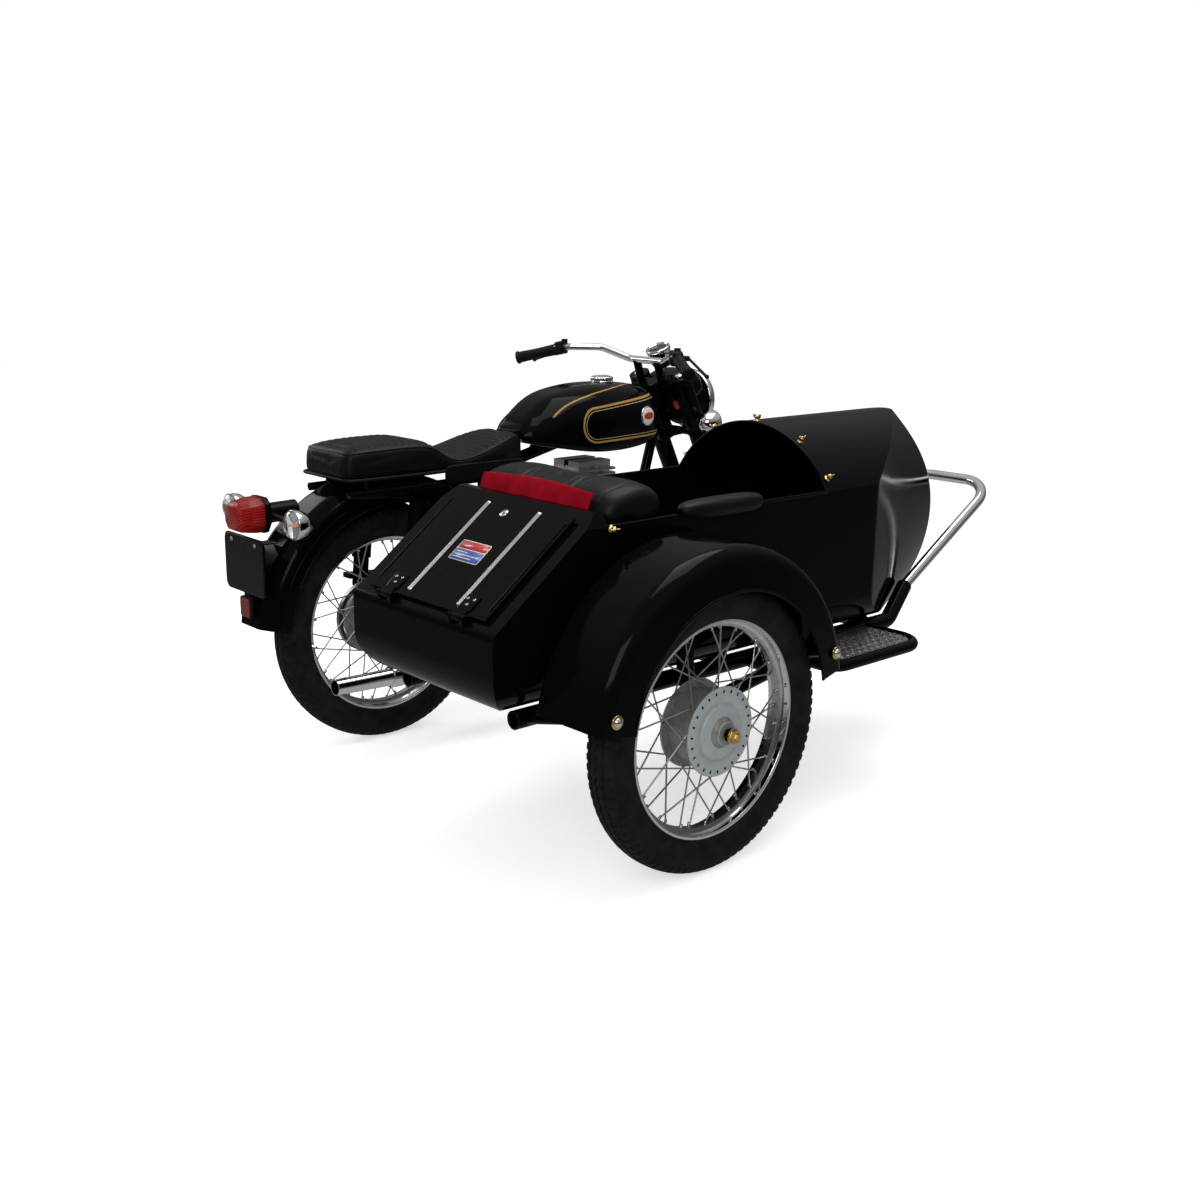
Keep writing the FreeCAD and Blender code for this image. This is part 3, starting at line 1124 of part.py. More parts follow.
def sidecar_wheel_carrier():
    """The leading arm with its stub axle, and the shock absorber above it."""
    x, z = D.side_wheel_lead, D.tyre_r
    inner = -D.track + D.hub_half + 16
    things = [
        rod((400, inner + 30, D.chassis_up), (x, inner + 6, z), 17),
        rod((400, -D.rail_outer_y - D.chassis_r + 2, D.chassis_up), (400, inner + 14, D.chassis_up), 20),
        rod((x, inner + 24, z), (x, inner - 10, z), 30),
        rod((x, inner, z), (x, -SIDE_REACH + 4, z), D.axle_r),
        hexagon((x, -D.track - D.hub_half - 3, z), -1, 15, 14),
    ]
    node("sidecar_wheel_arm", joined(things))
    low, high = (x + 40, inner + 24, z + 40), (x + 20, inner + 24, z + 300)
    share = [b - a for a, b in zip(low, high)]

    def at(part):
        return tuple(a + b * part for a, b in zip(low, share))

    bracket = rod(high, (x + 20, BODY_RIGHT, z + 300), 10)
    node("sidecar_shock", joined([rod(at(-0.06), at(1.0), 8), rod(at(0.10), at(0.5), 20), rod(at(0.44), at(0.92), 25),
                                  bracket]))

    # mudguard: crown, rounded outer edge and deep skirt, turned about a centre above the axle
    inn, out = -D.side_guard_in + D.track, -D.side_guard_out + D.track
    crown, wall, lip = D.side_guard_r, D.guard_wall, D.side_guard_skirt
    section = [(inn, crown - 66), (inn, crown, 14), (out + 12, crown - 4, D.side_guard_round), (out, lip),
               (out + wall, lip), (out + 12 + wall, crown - 4 - wall, D.side_guard_round - wall),
               (inn - wall, crown - wall, 11), (inn - wall, crown - 66)]
    shell = revolved("YZ_Plane", section, "H_Axis", 162)
    put(shell, (D.side_wheel_lead, -D.track, D.side_guard_lift), 0, -81, 0)
    stays = []
    for ahead, up, root in ((-306, 436, -306), (375, 452, 446)):
        stays.append(rod((ahead, -D.side_guard_out + 2, up), (root, -D.rail_outer_y - D.chassis_r + 3, D.chassis_up), 8))
    node("sidecar_mudguard", joined([shell] + stays))


# ------------------------------------------------------------------ sidecar body
# height above the floor, prow's edge ahead of the rear axle
STEM = ((340, 1120), (430, 1312), (545, 1388), (665, 1392), (790, 1320), (960, 1112))


def body_outline(inset):
    """The body seen from the front: arched top, upright sides and rounded lower edges."""
    half = float(D.body_half) - inset
    rail, top = float(D.body_rail), float(COWL_TOP) - inset
    low = float(D.body_floor) + inset
    corner = float(D.body_corner) - inset
    middle = -float(D.body_y)
    cut = corner * (1 - math.sqrt(0.5))
    spots = [(half, rail), (0, top), (-half, rail), (-half, low + corner), (-half + cut, low + cut),
             (-half + corner, low), (half - corner, low), (half - cut, low + cut), (half, low + corner)]
    p = [FreeCAD.Vector(-2000, middle + u, v) for u, v in spots]
    return Part.Wire([Part.Arc(p[0], p[1], p[2]).toShape(), Part.makeLine(p[2], p[3]),
                      Part.Arc(p[3], p[4], p[5]).toShape(), Part.makeLine(p[5], p[6]),
                      Part.Arc(p[6], p[7], p[8]).toShape(), Part.makeLine(p[8], p[0])])


def body_tube(inset):
    """The body's front view carried from end to end."""
    return Part.Face(body_outline(inset)).extrude(FreeCAD.Vector(4000, 0, 0))


def prow(inset):
    """Everything behind the prow: outlines seen from above, one for each row of the stem table."""
    middle, half = -float(D.body_y), float(D.body_half) + 1 - inset
    start = float(D.prow_start) - inset * 0.4
    sections = []
    for level, reach in STEM:
        slant = math.atan2(half, reach - start)
        tip = reach - inset + float(D.prow_tip_r) * (1 / math.sin(slant) - 1)
        sections.append((level, [(-1000, -half), (start, -half, 60), (tip, 0, D.prow_tip_r), (start, half, 60),
                                 (-1000, half)]))
    return loft(sections, lambda s, u, v: FreeCAD.Vector(u, middle + v, s))


def boot_profile(inset):
    """Everything ahead of the boot's outline seen from the side."""
    slope = math.radians(SLOPE_ANGLE)
    edge_x, edge_z = -float(D.boot_edge), float(D.boot_edge_up)
    tail_x, tail_z = -float(D.boot_tail), float(D.boot_tail_up)
    shift_x, shift_z = inset * math.sin(slope), -inset * math.cos(slope)
    low = float(D.body_floor) + inset
    corners = [(2000, 1500), (edge_x + 600, edge_z + 600 * math.tan(slope) + shift_z - shift_x * math.tan(slope)),
               (tail_x + inset, tail_z + shift_z - (shift_x - inset) * math.tan(slope), 24),
               (tail_x + inset, low, float(D.boot_round) - inset), (2000, low)]
    wire = flat_wire(corners, lambda u, v: FreeCAD.Vector(u, -3000, v))
    return Part.Face(wire).extrude(FreeCAD.Vector(0, 6000, 0))


def body_solid(inset):
    """The whole body's volume, or its inside where an inset is given."""
    return body_tube(inset).common(prow(inset)).common(boot_profile(inset))


def slab(low_x, high_x, low_z=-100, high_z=2000):
    """A region between two planes across the outfit, and between two heights."""
    return Part.makeBox(high_x - low_x, 6000, high_z - low_z, FreeCAD.Vector(low_x, -3000, low_z))


def sidecar_body():
    """The hollow body in its three panels, with cockpit, bulkhead and boot opening."""
    wall = float(D.body_wall)
    shell = body_solid(0.0).cut(body_solid(wall))
    cowl, bulkhead = float(D.cowl_start), -float(D.bulkhead_back)
    rail = float(D.body_rail)
    nose = shell.common(slab(cowl, 3000))
    tub = shell.common(slab(bulkhead, cowl)).cut(slab(bulkhead - 1, cowl + 1, rail))
    plate = body_solid(0.0).common(slab(bulkhead, bulkhead + wall, 0, rail))
    edge_up = float(D.boot_edge_up)
    tail_cap = slab(-2000, bulkhead, -100, edge_up)
    tail = shell.common(tail_cap)
    deck = body_solid(0.0).common(slab(-float(D.boot_edge), bulkhead, edge_up - wall, edge_up))
    boot_hole = boot_frame_box(float(D.lid_wide) - 2 * float(D.lid_lap), float(D.lid_long) - 2 * float(D.lid_lap),
                               -40, 60, float(D.lid_lap))
    node("sidecar_nose", shaped(nose))
    node("sidecar_tub", shaped(tub.fuse(plate)))
    node("sidecar_tail", shaped(tail.fuse(deck).cut(boot_hole)))


def slope_point(along, above, y=0.0):
    """A point on the boot's slope: along it from its lower end, above its surface."""
    angle = math.radians(SLOPE_ANGLE)
    x = -float(D.boot_tail) + along * math.cos(angle) - above * math.sin(angle)
    z = float(D.boot_tail_up) + along * math.sin(angle) + above * math.cos(angle)
    return FreeCAD.Vector(x, y, z)


LID_START = 26.0      # lower edge of the lid above the lower end of the slope


def boot_frame_box(wide, long, low, high, lap=0.0):
    """A block lying on the boot's slope, between two heights above its surface."""
    shape = Part.makeBox(long, wide, high - low, FreeCAD.Vector(0, -wide / 2, 0))
    base = slope_point(LID_START + lap, low, -float(D.body_y))
    shape.Placement = FreeCAD.Placement(base, FreeCAD.Rotation(FreeCAD.Vector(0, 1, 0), -SLOPE_ANGLE))
    return shape


def boot_lid():
    """The lid on the boot's slope, hinged along its lower edge by two knuckles."""
    gap, thick = float(D.lid_gap), float(D.lid_thick)
    lid = boot_frame_box(float(D.lid_wide), float(D.lid_long), gap, gap + thick)
    pin = slope_point(LID_START - 12, gap + float(D.hinge_r), 0.0)
    middle = -float(D.body_y)
    tabs, pins, eyes = [], [], []
    for side in (-1, 1):
        y = middle + side * 130
        knuckle = Part.makeCylinder(float(D.hinge_r), 30, FreeCAD.Vector(pin.x, y - 15, pin.z), FreeCAD.Vector(0, 1, 0))
        leaf = Part.makeBox(30, 30, 3, FreeCAD.Vector(0, y - 15, 0))
        base = slope_point(LID_START - 12, gap + thick, 0.0)
        leaf.Placement = FreeCAD.Placement(FreeCAD.Vector(base.x, 0, base.z),
                                           FreeCAD.Rotation(FreeCAD.Vector(0, 1, 0), -SLOPE_ANGLE))
        hole = Part.makeCylinder(float(D.hinge_pin_r) + float(D.axle_play), 40, FreeCAD.Vector(pin.x, y - 20, pin.z),
                                 FreeCAD.Vector(0, 1, 0))
        tabs.append(knuckle.fuse(leaf).cut(hole))
        pins.append(Part.makeCylinder(float(D.hinge_pin_r), 56, FreeCAD.Vector(pin.x, y - 28, pin.z),
                                      FreeCAD.Vector(0, 1, 0)))
        for end in (-1, 1):
            eye = Part.makeCylinder(float(D.hinge_r), 9, FreeCAD.Vector(pin.x, y + end * 22 - 4.5, pin.z),
                                    FreeCAD.Vector(0, 1, 0))
            tall = gap + float(D.hinge_r)
            foot = Part.makeBox(22, 9, tall, FreeCAD.Vector(-11, y + end * 22 - 4.5, -tall))
            foot.Placement = FreeCAD.Placement(pin, FreeCAD.Rotation(FreeCAD.Vector(0, 1, 0), -SLOPE_ANGLE))
            eyes += [eye, foot]
    node("boot_lid", shaped(lid.multiFuse(tabs)))
    node("boot_hinges", shaped(pins[0].multiFuse(pins[1:] + eyes)))


def sidecar_trim():
    """Seat cushion, back rest with its rolled top, arm pad and cover studs."""
    middle, half, wall = -D.body_y, D.body_half, D.body_wall
    wide = (half - wall) * 2 - 8
    ledge = D.body_floor + D.body_corner
    cushion = padded("XZ_Plane", [(82, ledge), (540, ledge), (548, 560, 30), (82, 536, 20)], wide, -middle)
    plinth = padded("XZ_Plane", [(90, D.body_floor + wall), (480, D.body_floor + wall), (480, ledge + 1),
                                 (90, ledge + 1)], (half - D.body_corner) * 2, -middle)
    node("sidecar_seat", joined([cushion, plinth]))
    rest = padded("XZ_Plane", [(-122, 500, 10), (78, 537, 10), (52, 740, 30), (74, 800, 40), (30, 866, 40),
                               (-60, 858, 40), (-122, 798, 16)], wide, -middle)
    node("sidecar_backrest", rest)
    pad = padded("XZ_Plane", [(90, D.body_rail, 8), (352, D.body_rail, 8), (352, D.body_rail + 26, 12),
                              (90, D.body_rail + 26, 12)], 52, -BODY_RIGHT - 8)
    node("arm_pad", pad)
    studs = []
    for x, y, z, dx, dy, dz in stud_table():
        start = (x, y, z)
        end = (x + dx * D.knob_tall, y + dy * D.knob_tall, z + dz * D.knob_tall)
        studs.append(rod(start, end, D.knob_r))
    node("cover_studs", joined(studs))


def stud_table():
    """Cover studs: place on the body's surface, and the way each stands out of it."""
    front = D.cowl_start + 20
    rows = [(front, -D.body_y, COWL_TOP, 0, 0, 1)]
    for side in (-1, 1):
        rows.append((front, -D.body_y + side * (D.body_half + 0.0), D.body_rail + 2, 0, side, 0))
        rows.append((-118, -D.body_y + side * (D.body_half + 0.0), D.body_rail - 4, 0, side, 0))
    return rows


# ------------------------------------------------------------------ the build
def build():
    """Makes every piece, checks the document and writes one STEP file for each piece."""
    for name, ahead, left in WHEELS:
        tyre(name, ahead, left)
        wire_rim(name, ahead, left)
        hub(name, ahead, left)
    front_end()
    bar_controls()
    clock()
    winkers("front_indicators", D.wheelbase - 228, 166, D.tyre_r + 475, D.fork_half + D.shroud_r, 1)
    frame()
    rear_end()
    engine()
    fuel_tank()
    bike_seat()
    small_bodywork()
    winkers("rear_indicators", -352, D.winker_half, 655, 20, -1)
    centre_stand()
    sidecar_chassis()
    sidecar_wheel_carrier()
    sidecar_body()
    boot_lid()
    sidecar_trim()
    DOC.recompute()

    faults = [f"{thing.Label}: {thing.State}" for thing in DOC.Objects
              if any(word in thing.State for word in ("Invalid", "Error"))]
    for label, thing in PIECES.items():
        if thing.Shape.isNull() or not thing.Shape.isValid():
            faults.append(f"{label}: no valid shape")
    if faults:
        raise RuntimeError("; ".join(faults))
    os.makedirs("parts", exist_ok=True)
    for label, thing in PIECES.items():
        thing.Shape.exportStep(os.path.join("parts", f"{label}.step"))
        box = thing.Shape.BoundBox
        print(f"{label:20s} {len(thing.Shape.Solids):2d} solids {thing.Shape.Volume / 1000:9.1f} cm3 "
              f"x {box.XMin:7.0f} {box.XMax:7.0f} y {box.YMin:7.0f} {box.YMax:7.0f} z {box.ZMin:6.0f} {box.ZMax:6.0f}")


build()
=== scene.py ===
# %% [markdown]
# # A motorcycle with a one-seat sidecar
# The model comes in from the workshop with every rigid part in its true place: frame, wheels,
# tank, body panels and lid. This notebook dresses it. Each step adds one finish or one group of
# pieces, and says what the real thing is made of before it says how to draw it.

import json
import math

import bmesh
import bpy
import numpy as np
from mathutils import Matrix, Vector


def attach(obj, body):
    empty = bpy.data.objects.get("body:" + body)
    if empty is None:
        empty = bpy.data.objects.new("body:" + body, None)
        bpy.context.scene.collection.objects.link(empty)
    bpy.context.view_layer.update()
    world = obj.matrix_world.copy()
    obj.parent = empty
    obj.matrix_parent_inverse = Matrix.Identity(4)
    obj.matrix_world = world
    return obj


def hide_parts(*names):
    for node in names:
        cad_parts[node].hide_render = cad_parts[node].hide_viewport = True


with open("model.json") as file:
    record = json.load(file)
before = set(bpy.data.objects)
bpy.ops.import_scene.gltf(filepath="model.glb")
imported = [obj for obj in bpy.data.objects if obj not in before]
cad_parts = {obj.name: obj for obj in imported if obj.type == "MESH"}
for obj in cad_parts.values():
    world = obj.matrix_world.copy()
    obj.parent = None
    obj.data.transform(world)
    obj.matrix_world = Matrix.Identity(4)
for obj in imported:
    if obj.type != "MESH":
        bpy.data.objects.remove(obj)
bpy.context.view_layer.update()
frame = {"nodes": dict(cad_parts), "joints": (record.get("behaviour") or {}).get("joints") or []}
NODES = frame["nodes"]
JOINTS = {joint["name"]: joint for joint in frame["joints"]}

# %% [markdown]
# ## Where things are
# A maker measures a motorcycle from the floor point under its rear axle. The joints of the frame
# give that point, the three wheel centres, and the steering axis, so no place is typed twice.

# %% Places
REAR = np.array(JOINTS["rear_wheel_spin"]["pos_m"])
FRONT = np.array(JOINTS["front_wheel_spin"]["pos_m"])
SIDE = np.array(JOINTS["sidecar_wheel_spin"]["pos_m"])
DATUM = np.array([REAR[0], REAR[1], 0.0])
WHEELS = {"front": FRONT, "rear": REAR, "sidecar": SIDE}
FORK_UP = np.array(JOINTS["steering"]["axis"])
FORK_AHEAD = np.array([FORK_UP[2], 0.0, -FORK_UP[0]])
BODY_Y = -0.800        # sidecar body's centre plane, from the bike's
BODY_HALF = 0.255      # half the body's width
RAIL_UP = 0.768        # top of the cockpit's sides
COWL_UP = 0.916        # crown of the cowl
SIDES = (("right", -1), ("left", 1))


def at(ahead, left, up):
    """A point given from the floor under the rear axle: ahead, to the left, and up, in metres."""
    return DATUM + np.array([ahead, left, up])


def fork(up, ahead=0.0, left=0.0):
    """A point by the fork: up its legs from the front axle, ahead of them, and to the left."""
    return FRONT + up * FORK_UP + ahead * FORK_AHEAD + np.array([0.0, left, 0.0])


print("rear axle at", REAR.round(3), "front axle at", FRONT.round(3))

# %% [markdown]
# ## Surfaces from arrays
# Every new piece is a grid of points worked out in one go, or a profile carried along a path.
# A few helpers are enough: one puts a grid into a mesh, one turns a profile about an axis, one
# carries a circle along a curve, and one rounds a block. Whole arrays are quicker than loops and
# read like the formula.

# %% Grid, lathe, tube and rounded block
XYZ = np.eye(3)
ALONG_X, ALONG_Y, ALONG_Z = XYZ
RIGHT, REARWARD = -ALONG_Y, -ALONG_X


def grid_faces(rows, columns, wrap_rows=False, wrap_columns=False):
    """Quads of a grid: each cell's four corners; wrap joins the last row or column to the first."""
    r = np.arange(rows if wrap_rows else rows - 1)
    c = np.arange(columns if wrap_columns else columns - 1)
    r, c = np.meshgrid(r, c, indexing="ij")
    r2, c2 = (r + 1) % rows, (c + 1) % columns
    quads = np.stack([r * columns + c, r * columns + c2, r2 * columns + c2, r2 * columns + c], -1)
    return quads.reshape(-1, 4)


def add_mesh(name, points, faces, smooth=True):
    """A new object with its place in its mesh, its normals outwards and its doubles merged."""
    mesh = bpy.data.meshes.new(name)
    mesh.from_pydata(
        np.asarray(points, float).reshape(-1, 3).tolist(), [], [list(map(int, f)) for f in faces])
    work = bmesh.new()
    work.from_mesh(mesh)
    bmesh.ops.remove_doubles(work, verts=work.verts, dist=1e-6)
    bmesh.ops.recalc_face_normals(work, faces=work.faces)
    work.to_mesh(mesh)
    work.free()
    mesh.shade_smooth() if smooth else mesh.shade_flat()
    piece = bpy.data.objects.new(name, mesh)
    bpy.context.scene.collection.objects.link(piece)
    return piece


def closed_grid(rows, columns, wrap_rows=False):
    """Faces of a grid whose columns run round it, with its first and last row filled in."""
    faces = grid_faces(rows, columns, wrap_rows, True).tolist()
    if not wrap_rows:
        faces += [list(range(columns)), list(range((rows - 1) * columns, rows * columns))]
    return faces


def basis(axis):
    """Two unit vectors square to an axis."""
    axis = np.asarray(axis, float) / np.linalg.norm(axis)
    guide = np.array([0.0, 0.0, 1.0]) if abs(axis[2]) < 0.9 else np.array([1.0, 0.0, 0.0])
    first = np.cross(axis, guide)
    first /= np.linalg.norm(first)
    return axis, first, np.cross(axis, first)


def lathe_points(profile, origin, axis, sides=48):
    """A profile of (distance along the axis, radius) turned through a full circle about it."""
    axis, first, second = basis(axis)
    profile = np.asarray(profile, float)
    turn = np.linspace(0, 2 * math.pi, sides, endpoint=False)
    ring = np.cos(turn)[:, None] * first + np.sin(turn)[:, None] * second
    points = profile[:, None, :1] * axis + profile[:, None, 1:] * ring[None]
    return np.asarray(origin, float) + points


def lathe(name, profile, origin, axis, sides=48, loop=False):
    """A turned piece; loop joins the profile's last point to its first, as on a ring."""
    points = lathe_points(profile, origin, axis, sides)
    return add_mesh(name, points, closed_grid(len(points), sides, loop))


def smooth_path(corners, samples=12):
    """A Catmull-Rom curve through its corners: each span is a cubic of its four nearest corners."""
    p = np.asarray(corners, float)
    p = np.vstack([2 * p[0] - p[1], p, 2 * p[-1] - p[-2]])
    t = np.linspace(0, 1, samples, endpoint=False)[:, None, None]
    a, b, c, d = p[:-3], p[1:-2], p[2:-1], p[3:]
    spans = 0.5 * (
        2 * b + (c - a) * t + (2 * a - 5 * b + 4 * c - d) * t ** 2
        + (3 * b - a - 3 * c + d) * t ** 3)
    return np.vstack([spans.transpose(1, 0, 2).reshape(-1, p.shape[1]), p[-2]])


def tube_points(path, radius, sides=12, closed=False):
    """A circle carried along a path: its plane is square to the path's direction at each point."""
    path = np.asarray(path, float)
    ahead_and_back = np.roll(path, -1, 0) - np.roll(path, 1, 0)
    run = ahead_and_back if closed else np.gradient(path, axis=0)
    run /= np.linalg.norm(run, axis=1)[:, None]
    guide = XYZ[np.argmin(np.abs(run).max(0))]
    first = np.cross(run, guide)
    first /= np.linalg.norm(first, axis=1)[:, None]
    second = np.cross(run, first)
    turn = np.linspace(0, 2 * math.pi, sides, endpoint=False)
    radius = np.broadcast_to(np.asarray(radius, float), len(path))[:, None, None]
    c, s = np.cos(turn)[None, :, None], np.sin(turn)[None, :, None]
    return path[:, None, :] + radius * (c * first[:, None] + s * second[:, None])


def tube(name, path, radius, sides=12, closed=False):
    """A round bar along a path, with closed ends or joined to itself."""
    points = tube_points(path, radius, sides, closed)
    return add_mesh(name, points, closed_grid(len(points), sides, closed))


def arc(center, radius, start, end, left, count):
    """Points of an upright arc: angles in degrees from straight up, towards the front."""
    angle = np.radians(np.linspace(start, end, count))
    return np.stack(
        [center[0] + radius * np.sin(angle), np.full(count, center[1] + left),
        center[2] + radius * np.cos(angle)], 1)


def pillow(name, center, axes, halves, power=0.35, rows=24, columns=48):
    """A rounded block: a sphere whose sines and cosines are raised to a power under one, so that it
    fills its box. axes are three unit vectors, halves the half sizes along them."""
    up = np.linspace(-math.pi / 2, math.pi / 2, rows)[:, None]
    turn = np.linspace(0, 2 * math.pi, columns, endpoint=False)[None]

    def rounded(value):
        return np.sign(value) * np.abs(value) ** power

    u = rounded(np.cos(up)) * rounded(np.cos(turn))
    v = rounded(np.cos(up)) * rounded(np.sin(turn))
    w = rounded(np.sin(up)) * np.ones_like(turn)
    local = np.stack([u, v, w], -1) * np.asarray(halves, float)
    points = np.asarray(center, float) + local @ np.asarray(axes, float)
    return add_mesh(name, points, closed_grid(rows, columns))


def join(name, pieces):
    """One object from several that share a finish and a body."""
    bpy.ops.object.select_all(action="DESELECT")
    for piece in pieces:
        piece.select_set(True)
    bpy.context.view_layer.objects.active = pieces[0]
    bpy.ops.object.join()
    pieces[0].name = name
    return pieces[0]


print("surface helpers ready")

# %% [markdown]
# ## Shader maths as plain expressions
# A finish is a small formula: dust where the noise is high, wear where the metal is rough. The
# class below wraps a node's socket, so `dust * 0.3 + 0.1` adds its own Math nodes. Numbers that
# don't change over the surface stay plain Python and go straight onto the shader's sockets.

# %% The socket wrapper
class Val:
    """A node's output, which can be added, multiplied, compared and clamped like a number."""

    def __init__(self, tree, socket):
        self.tree, self.socket = tree, socket

    def math(self, operation, *values, clamp=False):
        return node(
            self.tree, "ShaderNodeMath", {"operation": operation, "use_clamp": clamp},
            {i: v for i, v in enumerate(values)})

    def __add__(self, other):
        return self.math("ADD", self, other)

    def __mul__(self, other):
        return self.math("MULTIPLY", self, other)

    def __sub__(self, other):
        return self.math("SUBTRACT", self, other)

    def __rsub__(self, other):
        return self.math("SUBTRACT", other, self)

    def __truediv__(self, other):
        return self.math("DIVIDE", self, other)

    __radd__ = __add__
    __rmul__ = __mul__

    def clamp(self):
        return self.math("ADD", self, 0.0, clamp=True)

    def step(self, low, high):
        """0 below low, 1 above high, and straight between."""
        return self.math("MULTIPLY", (self - low), 1 / (high - low), clamp=True)

    def power(self, exponent):
        return self.math("POWER", self, exponent)

    def sine(self):
        return self.math("SINE", self)

    def absolute(self):
        return self.math("ABSOLUTE", self)

    def larger(self, other):
        return self.math("MAXIMUM", self, other)


def node(tree, kind, settings=None, inputs=None, output=0):
    """Any node: its settings first, then the values or links of its sockets; its output wrapped."""
    made = tree.nodes.new(kind)
    for key, value in (settings or {}).items():
        if key == "stops":
            ramp = made.color_ramp
            while len(ramp.elements) < len(value):
                ramp.elements.new(0.5)
            for element, (place, color) in zip(ramp.elements, value):
                element.position, element.color = place, color
        else:
            setattr(made, key, value)
    for key, value in (inputs or {}).items():
        socket = made.inputs[key]
        if isinstance(value, Val):
            tree.links.new(value.socket, socket)
        else:
            socket.default_value = value
    return Val(tree, made.outputs[output])


def rgb(red, green, blue):
    return (red, green, blue, 1.0)


class Finish:
    """One material: its node tree, the place on the piece, and short calls for common patterns."""

    def __init__(self, name, color, roughness, **fixed):
        self.material = bpy.data.materials.new(name)
        self.material.use_nodes = True
        self.tree = self.material.node_tree
        self.shader = self.tree.nodes["Principled BSDF"]
        self.material.diffuse_color = color
        self.set("Base Color", color)
        self.set("Roughness", roughness)
        for key, value in fixed.items():
            self.shader.inputs[key.replace("_", " ")].default_value = value
        self.place = node(self.tree, "ShaderNodeTexCoord", output=3)

    def set(self, socket, value):
        if isinstance(value, Val):
            self.tree.links.new(value.socket, self.shader.inputs[socket])
        else:
            self.shader.inputs[socket].default_value = value

    def noise(self, scale, detail, rough=0.5):
        return node(
            self.tree, "ShaderNodeTexNoise", {},
            {"Vector": self.place, "Scale": scale, "Detail": detail, "Roughness": rough})

    def cell_edges(self, scale):
        """The distance to the nearest edge of a pattern of small cells."""
        return node(
            self.tree, "ShaderNodeTexVoronoi", {"feature": "DISTANCE_TO_EDGE"},
            {"Vector": self.place, "Scale": scale}, "Distance")

    def axis(self, letter, place=None):
        return node(
            self.tree, "ShaderNodeSeparateXYZ", {}, {0: place or self.place}, "XYZ".index(letter))

    def mix(self, factor, first, second):
        """first where factor is 0, second where it is 1."""
        return node(
            self.tree, "ShaderNodeMix", {"data_type": "RGBA"}, {0: factor, 6: first, 7: second}, 2)

    def bump(self, height, distance, strength=1.0):
        self.set("Normal", node(
            self.tree, "ShaderNodeBump", {},
            {"Strength": strength, "Distance": distance, "Height": height}))

    def facing_up(self):
        """How far the surface faces the sky: where dust settles."""
        normal = node(self.tree, "ShaderNodeNewGeometry", output=1)
        return self.axis("Z", normal)


print("shader wrapper ready")

# %% [markdown]
# ## Black enamel
# The whole machine is black enamel, baked and polished. Two things make it read as paint: a
# sharp coat over a nearly black base, and faint waves in the coat, because sheet steel is never
# flat. A little dust lies on what faces the sky.

# %% Enamel
COAT_WAVES, DUSTY, FILM = 0.00010, 0.025, 0.004


def enamel(name):
    paint = Finish(name, rgb(0.0020, 0.0020, 0.0020), 0.10, Specular_IOR_Level=0.06)
    dust = paint.noise(95, 5, 0.62).step(0.52, 0.82) * paint.facing_up().step(0.35, 1.0)
    film = paint.noise(3.2, 2).step(0.35, 0.75)
    paint.set("Base Color", paint.mix(
        dust * DUSTY + film * FILM, rgb(0.0018, 0.0018, 0.0018), rgb(0.16, 0.14, 0.11)))
    paint.set("Roughness", film * 0.08 + dust * 0.18 + 0.07)
    paint.bump(paint.noise(7.5, 1.5) + paint.noise(420, 1) * 0.02, COAT_WAVES)
    return paint


ENAMEL = enamel("black_enamel")
print(ENAMEL.material.name, len(ENAMEL.tree.nodes), "nodes")

# %% [markdown]
# ## The tank's gold lining
# A lining brush draws two lines round the side of the tank, a thick gold one and a thin pale one
# inside it, and one stripe along each shoulder. Paint has no thickness worth modelling, so the
# lines are a formula in the enamel: the distance to a capsule whose radius grows from its rear
# end to its front end, seen from the side. The capsule is longer than the tank, so its lines run
# off round the front, as the brush does. The stripes start side by side at the seat and close in
# on each other towards the steering head.

# %% Tank enamel
PANEL_REAR, PANEL_REAR_R = (0.678, 0.834), 0.050
PANEL_FRONT, PANEL_FRONT_R = (1.050, 0.856), 0.062
GOLD_HALF, PALE_HALF, PALE_INSIDE = 0.0031, 0.0010, 0.0088
STRIPE_HALF, STRIPE_OUT, STRIPE_CLOSES = 0.0021, 0.0965, 0.0515


def tank_enamel():
    """Enamel with the lining: distance to a tapered capsule, |p - (a + h(b - a))| - r(h)."""
    paint = enamel("tank_enamel")
    x = paint.axis("X") - float(DATUM[0])
    y = (paint.axis("Y") - float(DATUM[1])).absolute()
    z = paint.axis("Z")
    ax, az = PANEL_REAR
    bx, bz = PANEL_FRONT[0] - ax, PANEL_FRONT[1] - az
    px, pz = x - ax, z - az
    h = ((px * bx + pz * bz) / (bx * bx + bz * bz)).clamp()
    dx, dz = px - h * bx, pz - h * bz
    distance = (dx * dx + dz * dz).power(0.5) - (h * (PANEL_FRONT_R - PANEL_REAR_R) + PANEL_REAR_R)

    def line(where, half):
        return 1 - where.absolute().step(half * 0.8, half * 1.1)

    side = y.step(0.072, 0.078)
    gold = line(distance, GOLD_HALF) * side
    pale = line(distance + PALE_INSIDE, PALE_HALF) * side
    close_in = ((x - 0.56) * (1 / 0.315)).larger(0.0).power(2.75)
    stripe = line(y - STRIPE_OUT + close_in * STRIPE_CLOSES, STRIPE_HALF) * z.step(0.862, 0.866)
    base = paint.shader.inputs["Base Color"].links[0].from_socket
    color = paint.mix((gold + stripe).clamp(), Val(paint.tree, base), rgb(0.36, 0.205, 0.055))
    color = paint.mix(pale, color, rgb(0.40, 0.31, 0.20))
    paint.set("Base Color", color)
    return paint


TANK = tank_enamel()
print(TANK.material.name, len(TANK.tree.nodes), "nodes")
